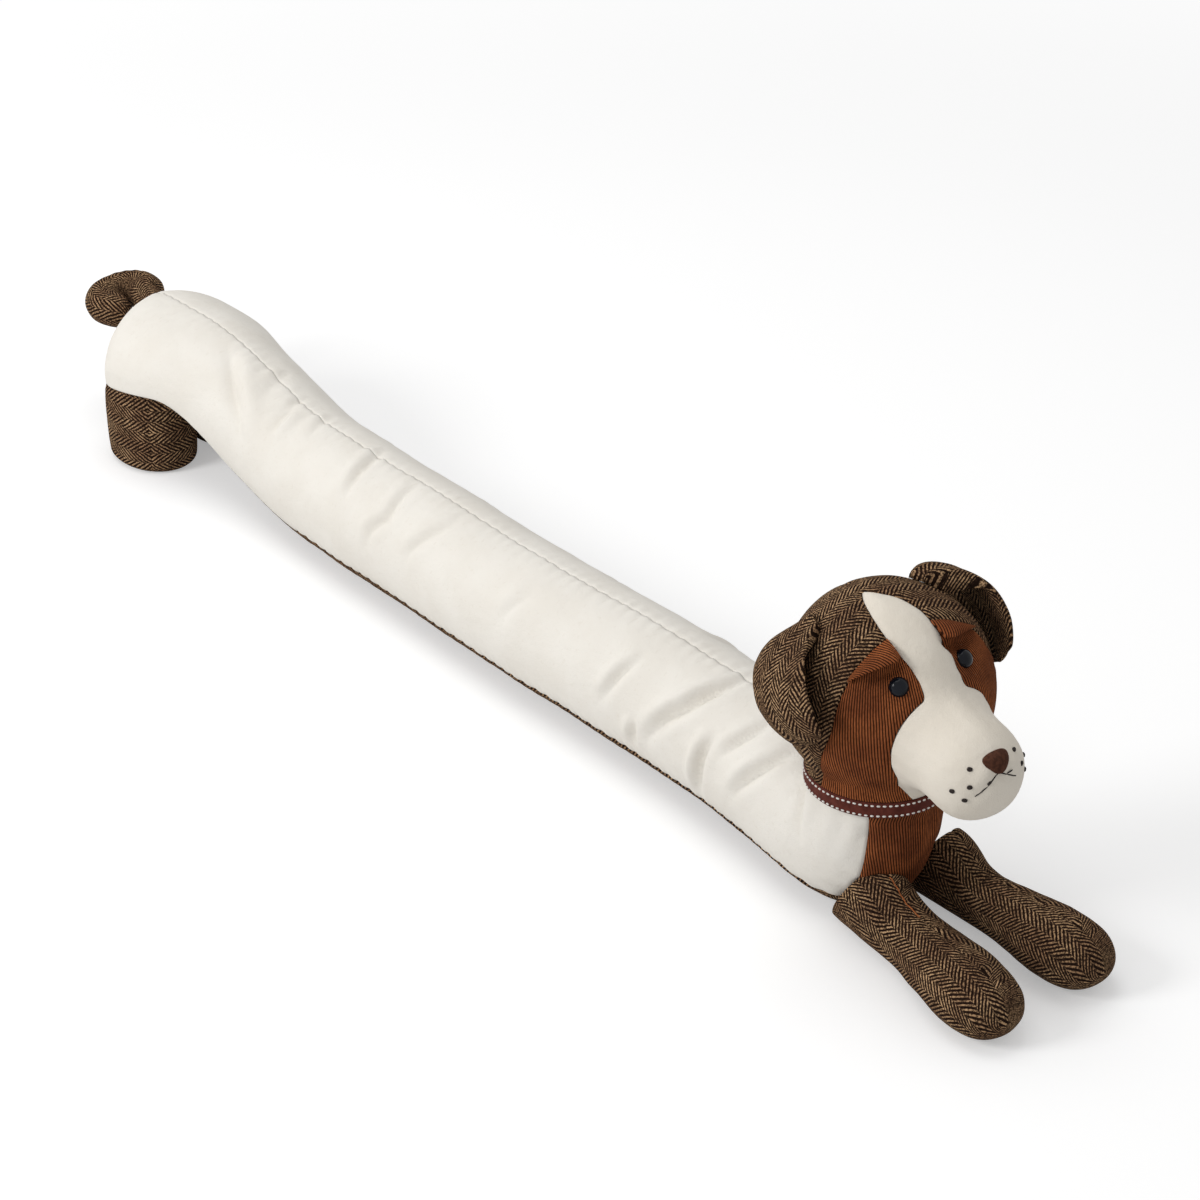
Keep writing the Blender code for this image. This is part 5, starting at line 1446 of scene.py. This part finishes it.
def make_collar_stitches(looks):
    """Two rows of single stitches on the ribbon."""
    threads = []
    for drop in (COLLAR_DROP + STITCH_INSET, COLLAR_DROP + COLLAR_WIDTH - STITCH_INSET):
        ring = collar_ring(drop, COLLAR_THICKNESS * RIBBON_CROWN + STITCH_RADIUS * 0.2,
                           STITCH_PLACES)
        outward = unit(ring - ring.mean(axis=0))
        total = np.linalg.norm(np.roll(ring, -1, axis=0) - ring, axis=1).sum()
        count = int(round(total / STITCH_PITCH))
        reach = STITCH_PLACES * STITCH_LENGTH / total
        for stitch in range(count):
            start = STITCH_PLACES * stitch / count
            places = [int(start + reach * share) % STITCH_PLACES for share, thick in STITCH_SHAPE]
            radii = [STITCH_RADIUS * thick for share, thick in STITCH_SHAPE]
            threads.append(sweep(ring[places], outward[places], radii, 8))
    threads_object("collar_stitches", threads, looks["stitch_thread"], [])


# Materials

class Nodes:
    """A small helper to add and join the nodes of a material or a world."""

    def __init__(self, owner):
        owner.use_nodes = True
        self.owner = owner
        self.tree = owner.node_tree

    def put(self, socket, value):
        if isinstance(value, bpy.types.NodeSocket):
            self.tree.links.new(value, socket)
        else:
            socket.default_value = value

    def math(self, operation, first, second=0.0):
        node = self.tree.nodes.new("ShaderNodeMath")
        node.operation = operation
        self.put(node.inputs[0], first)
        self.put(node.inputs[1], second)
        return node.outputs[0]

    def ramp(self, value, low, high, start=0.0, end=1.0):
        node = self.tree.nodes.new("ShaderNodeMapRange")
        node.interpolation_type = 'SMOOTHSTEP'
        node.clamp = True
        for socket, entry in zip(node.inputs, (value, low, high, start, end)):
            self.put(socket, entry)
        return node.outputs[0]

    def noise(self, scale, detail=2.0, stretch=(1.0, 1.0, 1.0)):
        where = self.tree.nodes.new("ShaderNodeTexCoord")
        node = self.tree.nodes.new("ShaderNodeTexNoise")
        mapping = self.tree.nodes.new("ShaderNodeMapping")
        mapping.inputs["Scale"].default_value = stretch
        self.tree.links.new(where.outputs["Object"], mapping.inputs["Vector"])
        self.tree.links.new(mapping.outputs["Vector"], node.inputs["Vector"])
        node.inputs["Scale"].default_value = scale
        node.inputs["Detail"].default_value = detail
        return node.outputs[0]

    def wander(self, scale, detail, reach):
        """Noise round zero, as far as half the reach to both sides."""
        return self.math('MULTIPLY', self.math('SUBTRACT', self.noise(scale, detail), 0.5), reach)

    def cloth_axes(self):
        where = self.tree.nodes.new("ShaderNodeUVMap")
        where.uv_map = "cloth"
        parts = self.tree.nodes.new("ShaderNodeSeparateXYZ")
        self.tree.links.new(where.outputs[0], parts.inputs[0])
        return parts.outputs[0], parts.outputs[1]

    def mix(self, share, first, second):
        node = self.tree.nodes.new("ShaderNodeMix")
        node.data_type = 'RGBA'
        self.put(node.inputs[0], share)
        self.put(node.inputs[6], first)
        self.put(node.inputs[7], second)
        return node.outputs[2]

    def tones(self, scale, detail, low, high, deep, light):
        """Two tones of a colour in soft patches."""
        return self.mix(self.ramp(self.noise(scale, detail), low, high), deep, light)

    def bump(self, height, distance, strength=1.0, before=None):
        node = self.tree.nodes.new("ShaderNodeBump")
        node.inputs["Strength"].default_value = strength
        node.inputs["Distance"].default_value = distance
        self.put(node.inputs["Height"], height)
        if before is not None:
            self.put(node.inputs["Normal"], before)
        return node.outputs[0]

    def seen_directly(self):
        """1 for rays of the camera, of mirrors and of glass, for a plain white background."""
        path = self.tree.nodes.new("ShaderNodeLightPath")
        seen = self.math('MAXIMUM', path.outputs["Is Camera Ray"], path.outputs["Is Glossy Ray"])
        return self.math('MAXIMUM', seen, path.outputs["Is Transmission Ray"])

    def finish(self, colour, roughness, specular, normal=None, sheen=0.0):
        shader = self.tree.nodes["Principled BSDF"]
        self.put(shader.inputs["Base Color"], colour)
        self.put(shader.inputs["Roughness"], roughness)
        self.put(shader.inputs["Specular IOR Level"], specular)
        self.put(shader.inputs["Sheen Weight"], sheen)
        self.put(shader.inputs["Sheen Roughness"], 0.5)
        if normal is not None:
            self.put(shader.inputs["Normal"], normal)
        return self.owner


def new_look(name):
    return Nodes(bpy.data.materials.new(name + "_look"))


def cream_material(name, deep, light):
    look = new_look(name)
    colour = look.tones(28.0, 3.0, 0.3, 0.7, deep, light)
    slub = look.noise(420.0, 2.0, (1.0, 0.25, 1.0))
    colour = look.mix(look.ramp(slub, 0.60, 0.74, 0.0, 0.22), colour, CREAM_SLUB)
    wrinkle = look.bump(look.noise(150.0, 3.0), 0.0011, 0.55)
    normal = look.bump(look.noise(1500.0, 1.0), 0.00035, 0.6, wrinkle)
    return look.finish(colour, 0.93, 0.15, normal, sheen=0.05)


def tweed_material():
    """Herringbone: slanting ribs that turn back at each column."""
    look = new_look("brown_tweed")
    u, v = look.cloth_axes()
    u = look.math('ABSOLUTE', look.math('ADD', u, look.wander(120.0, 1.0, 0.0012)))
    column = look.math('DIVIDE', u, COLUMN_WIDTH)
    slant = look.math('MULTIPLY', look.math('PINGPONG', column, 1.0),
                      COLUMN_WIDTH * TWILL_SLOPE / TWILL_PITCH)
    shift = look.math('MULTIPLY', look.math('MODULO', look.math('FLOOR', column), 2.0), 0.5)
    phase = look.math('DIVIDE', v, TWILL_PITCH)
    for part in (slant, shift, look.wander(500.0, 2.0, 0.35)):
        phase = look.math('ADD', phase, part)
    rib = look.ramp(look.math('SINE', look.math('MULTIPLY', phase, 2.0 * pi)), -0.10, 0.50)
    fleck = look.ramp(look.noise(900.0, 3.0), 0.38, 0.60, 0.12, 1.0)
    tan = look.tones(60.0, 2.0, 0.35, 0.65, TAN_DEEP, TAN_LIGHT)
    dark = look.tones(700.0, 2.0, 0.4, 0.7, DARK_DEEP, DARK_LIGHT)
    colour = look.mix(look.math('MULTIPLY', rib, fleck), dark, tan)
    normal = look.bump(rib, 0.00035, 0.8, look.bump(look.noise(1300.0, 2.0), 0.0004, 0.7))
    return look.finish(colour, 0.95, 0.03, normal)


def corduroy_material():
    look = new_look("rust_corduroy")
    u, v = look.cloth_axes()
    u = look.math('ADD', u, look.wander(90.0, 2.0, 0.0007))
    wale = look.math('ABSOLUTE', look.math('SINE', look.math('MULTIPLY', u, pi / WALE_PITCH)))
    pile = look.noise(1100.0, 2.0, (1.0, 1.0, 0.35))
    # high on the wale crests, with patches of flatter pile; the groove colour below it is painted
    # shade in the hollows between the wales
    worn = look.math('MULTIPLY', look.ramp(wale, 0.32, 0.92),
                     look.ramp(pile, 0.25, 0.60, 0.55, 1.0))
    crest = look.tones(45.0, 2.0, 0.35, 0.65, RUST_DEEP, RUST_LIGHT)
    colour = look.mix(worn, RUST_GROOVE_SHADE, crest)
    normal = look.bump(wale, 0.0006, 0.8, look.bump(pile, 0.0003, 0.6))
    return look.finish(colour, 0.92, 0.03, normal)


def ribbon_material():
    look = new_look("collar_ribbon")
    u, v = look.cloth_axes()
    rib = look.math('SINE', look.math('MULTIPLY', u, 2.0 * pi / RIBBON_RIB_PITCH))
    colour = look.tones(200.0, 2.0, 0.3, 0.7, RIBBON_DEEP, RIBBON_LIGHT)
    normal = look.bump(rib, 0.00012, 0.6, look.bump(look.noise(900.0), 0.0002, 0.4))
    return look.finish(colour, 0.72, 0.12, normal)


def plain_material(name, deep, light, roughness, scale, distance, specular):
    look = new_look(name)
    colour = look.tones(scale * 0.5, 2.0, 0.3, 0.7, deep, light)
    normal = look.bump(look.noise(scale, 2.0), distance, 0.7)
    return look.finish(colour, roughness, specular, normal)


def plastic_material():
    look = new_look("black_plastic")
    colour = look.tones(80.0, 1.0, 0.3, 0.7, PLASTIC_DEEP, PLASTIC_LIGHT)
    return look.finish(colour, 0.11, 0.14)


def make_looks():
    """Every material, by the name of its slot where it has one of its own."""
    looks = {
        "cream_calico": cream_material("cream_calico", CREAM_DEEP, CREAM_LIGHT),
        # a copy of the cream with painted shade and painted warm bounce light, for the muzzle
        "muzzle": cream_material("muzzle_shaded_calico", MUZZLE_SHADED_DEEP, MUZZLE_SHADED_LIGHT),
        "brown_tweed": tweed_material(),
        "rust_corduroy": corduroy_material(),
        "collar_ribbon": ribbon_material(),
        "black_plastic": plastic_material(),
    }
    for name, values in PLAIN_LOOKS.items():
        looks[name] = plain_material(name, *values)
    return looks


# Floor, light and camera

def make_floor():
    """A pale floor that glows white in the camera's view, more so away from the dog."""
    bpy.ops.mesh.primitive_plane_add(size=FLOOR_SIZE, location=(0.0, 0.0, -FLOOR_DROP))
    floor = bpy.context.object
    floor.name = "studio_floor"
    look = new_look("studio_floor")
    floor.data.materials.append(look.finish(FLOOR_COLOUR, 1.0, 0.0))
    where = look.tree.nodes.new("ShaderNodeTexCoord")
    away = look.tree.nodes.new("ShaderNodeVectorMath")
    away.operation = 'LENGTH'
    look.put(away.inputs[0], where.outputs["Object"])
    glow = look.ramp(away.outputs["Value"], FLOOR_NEAR, FLOOR_FAR, FLOOR_GLOW, FLOOR_GLOW_FAR)
    shader = look.tree.nodes["Principled BSDF"]
    look.put(shader.inputs["Emission Color"], WHITE)
    look.put(shader.inputs["Emission Strength"], look.math('MULTIPLY', look.seen_directly(), glow))


def make_world():
    """White where it is seen, and a softer light from it on the dog."""
    world = bpy.data.worlds.new("studio_world")
    bpy.context.scene.world = world
    sky = Nodes(world)
    soft = sky.tree.nodes["Background"]
    white = sky.tree.nodes.new("ShaderNodeBackground")
    for node, strength in ((soft, SKY_LIGHT), (white, 1.0)):
        node.inputs["Color"].default_value = WHITE
        node.inputs["Strength"].default_value = strength
    blend = sky.tree.nodes.new("ShaderNodeMixShader")
    for socket, value in zip(blend.inputs, (sky.seen_directly(), soft.outputs[0],
                                            white.outputs[0])):
        sky.put(socket, value)
    sky.put(sky.tree.nodes["World Output"].inputs["Surface"], blend.outputs[0])


def make_lamps():
    for name, place, aim, size, power in LAMPS:
        lamp = bpy.data.lights.new(name, 'AREA')
        lamp.shape = 'DISK'
        lamp.size = size
        lamp.energy = power
        item = add_object(name, lamp)
        item.location = place
        item.rotation_euler = (Vector(aim) - Vector(place)).to_track_quat('-Z', 'Y').to_euler()


def make_camera():
    back = Vector((sin(CAMERA_TURN) * cos(CAMERA_HEIGHT), -cos(CAMERA_TURN) * cos(CAMERA_HEIGHT),
                   sin(CAMERA_HEIGHT)))
    lens = bpy.data.cameras.new("photo_camera")
    lens.lens = CAMERA_LENS
    lens.sensor_width = CAMERA_SENSOR
    lens.clip_end = CAMERA_FAR
    camera = add_object("photo_camera", lens)
    camera.location = CAMERA_PLACE
    camera.rotation_euler = back.to_track_quat('Z', 'Y').to_euler()
    bpy.context.scene.camera = camera
    bpy.context.scene.view_settings.view_transform = 'Standard'


# The whole model

def main():
    looks = make_looks()
    make_body(looks)
    cutter = body_cutter()
    front_leg("front_leg_right", RIGHT_LEG_Y, RIGHT_LEG_ANGLE, cutter, looks)
    front_leg("front_leg_left", LEFT_LEG_Y, LEFT_LEG_ANGLE, cutter, looks)
    rear_leg("rear_leg_right", -REAR_LEG_SPACING / 2.0, cutter, looks)
    rear_leg("rear_leg_left", REAR_LEG_SPACING / 2.0, cutter, looks)
    make_tail(cutter, looks)
    bpy.data.objects.remove(cutter, do_unlink=True)
    make_head(looks)
    make_face(looks)
    make_ear("ear_right", -1.0, EAR_RIGHT_LIFT, EAR_RIGHT_PEAK, EAR_RIGHT_ROOT, looks)
    make_ear("ear_left", 1.0, EAR_LEFT_LIFT, EAR_LEFT_PEAK, EAR_LEFT_ROOT, looks)
    make_ribbon(looks)
    make_collar_stitches(looks)
    make_floor()
    make_world()
    make_lamps()
    make_camera()


main()
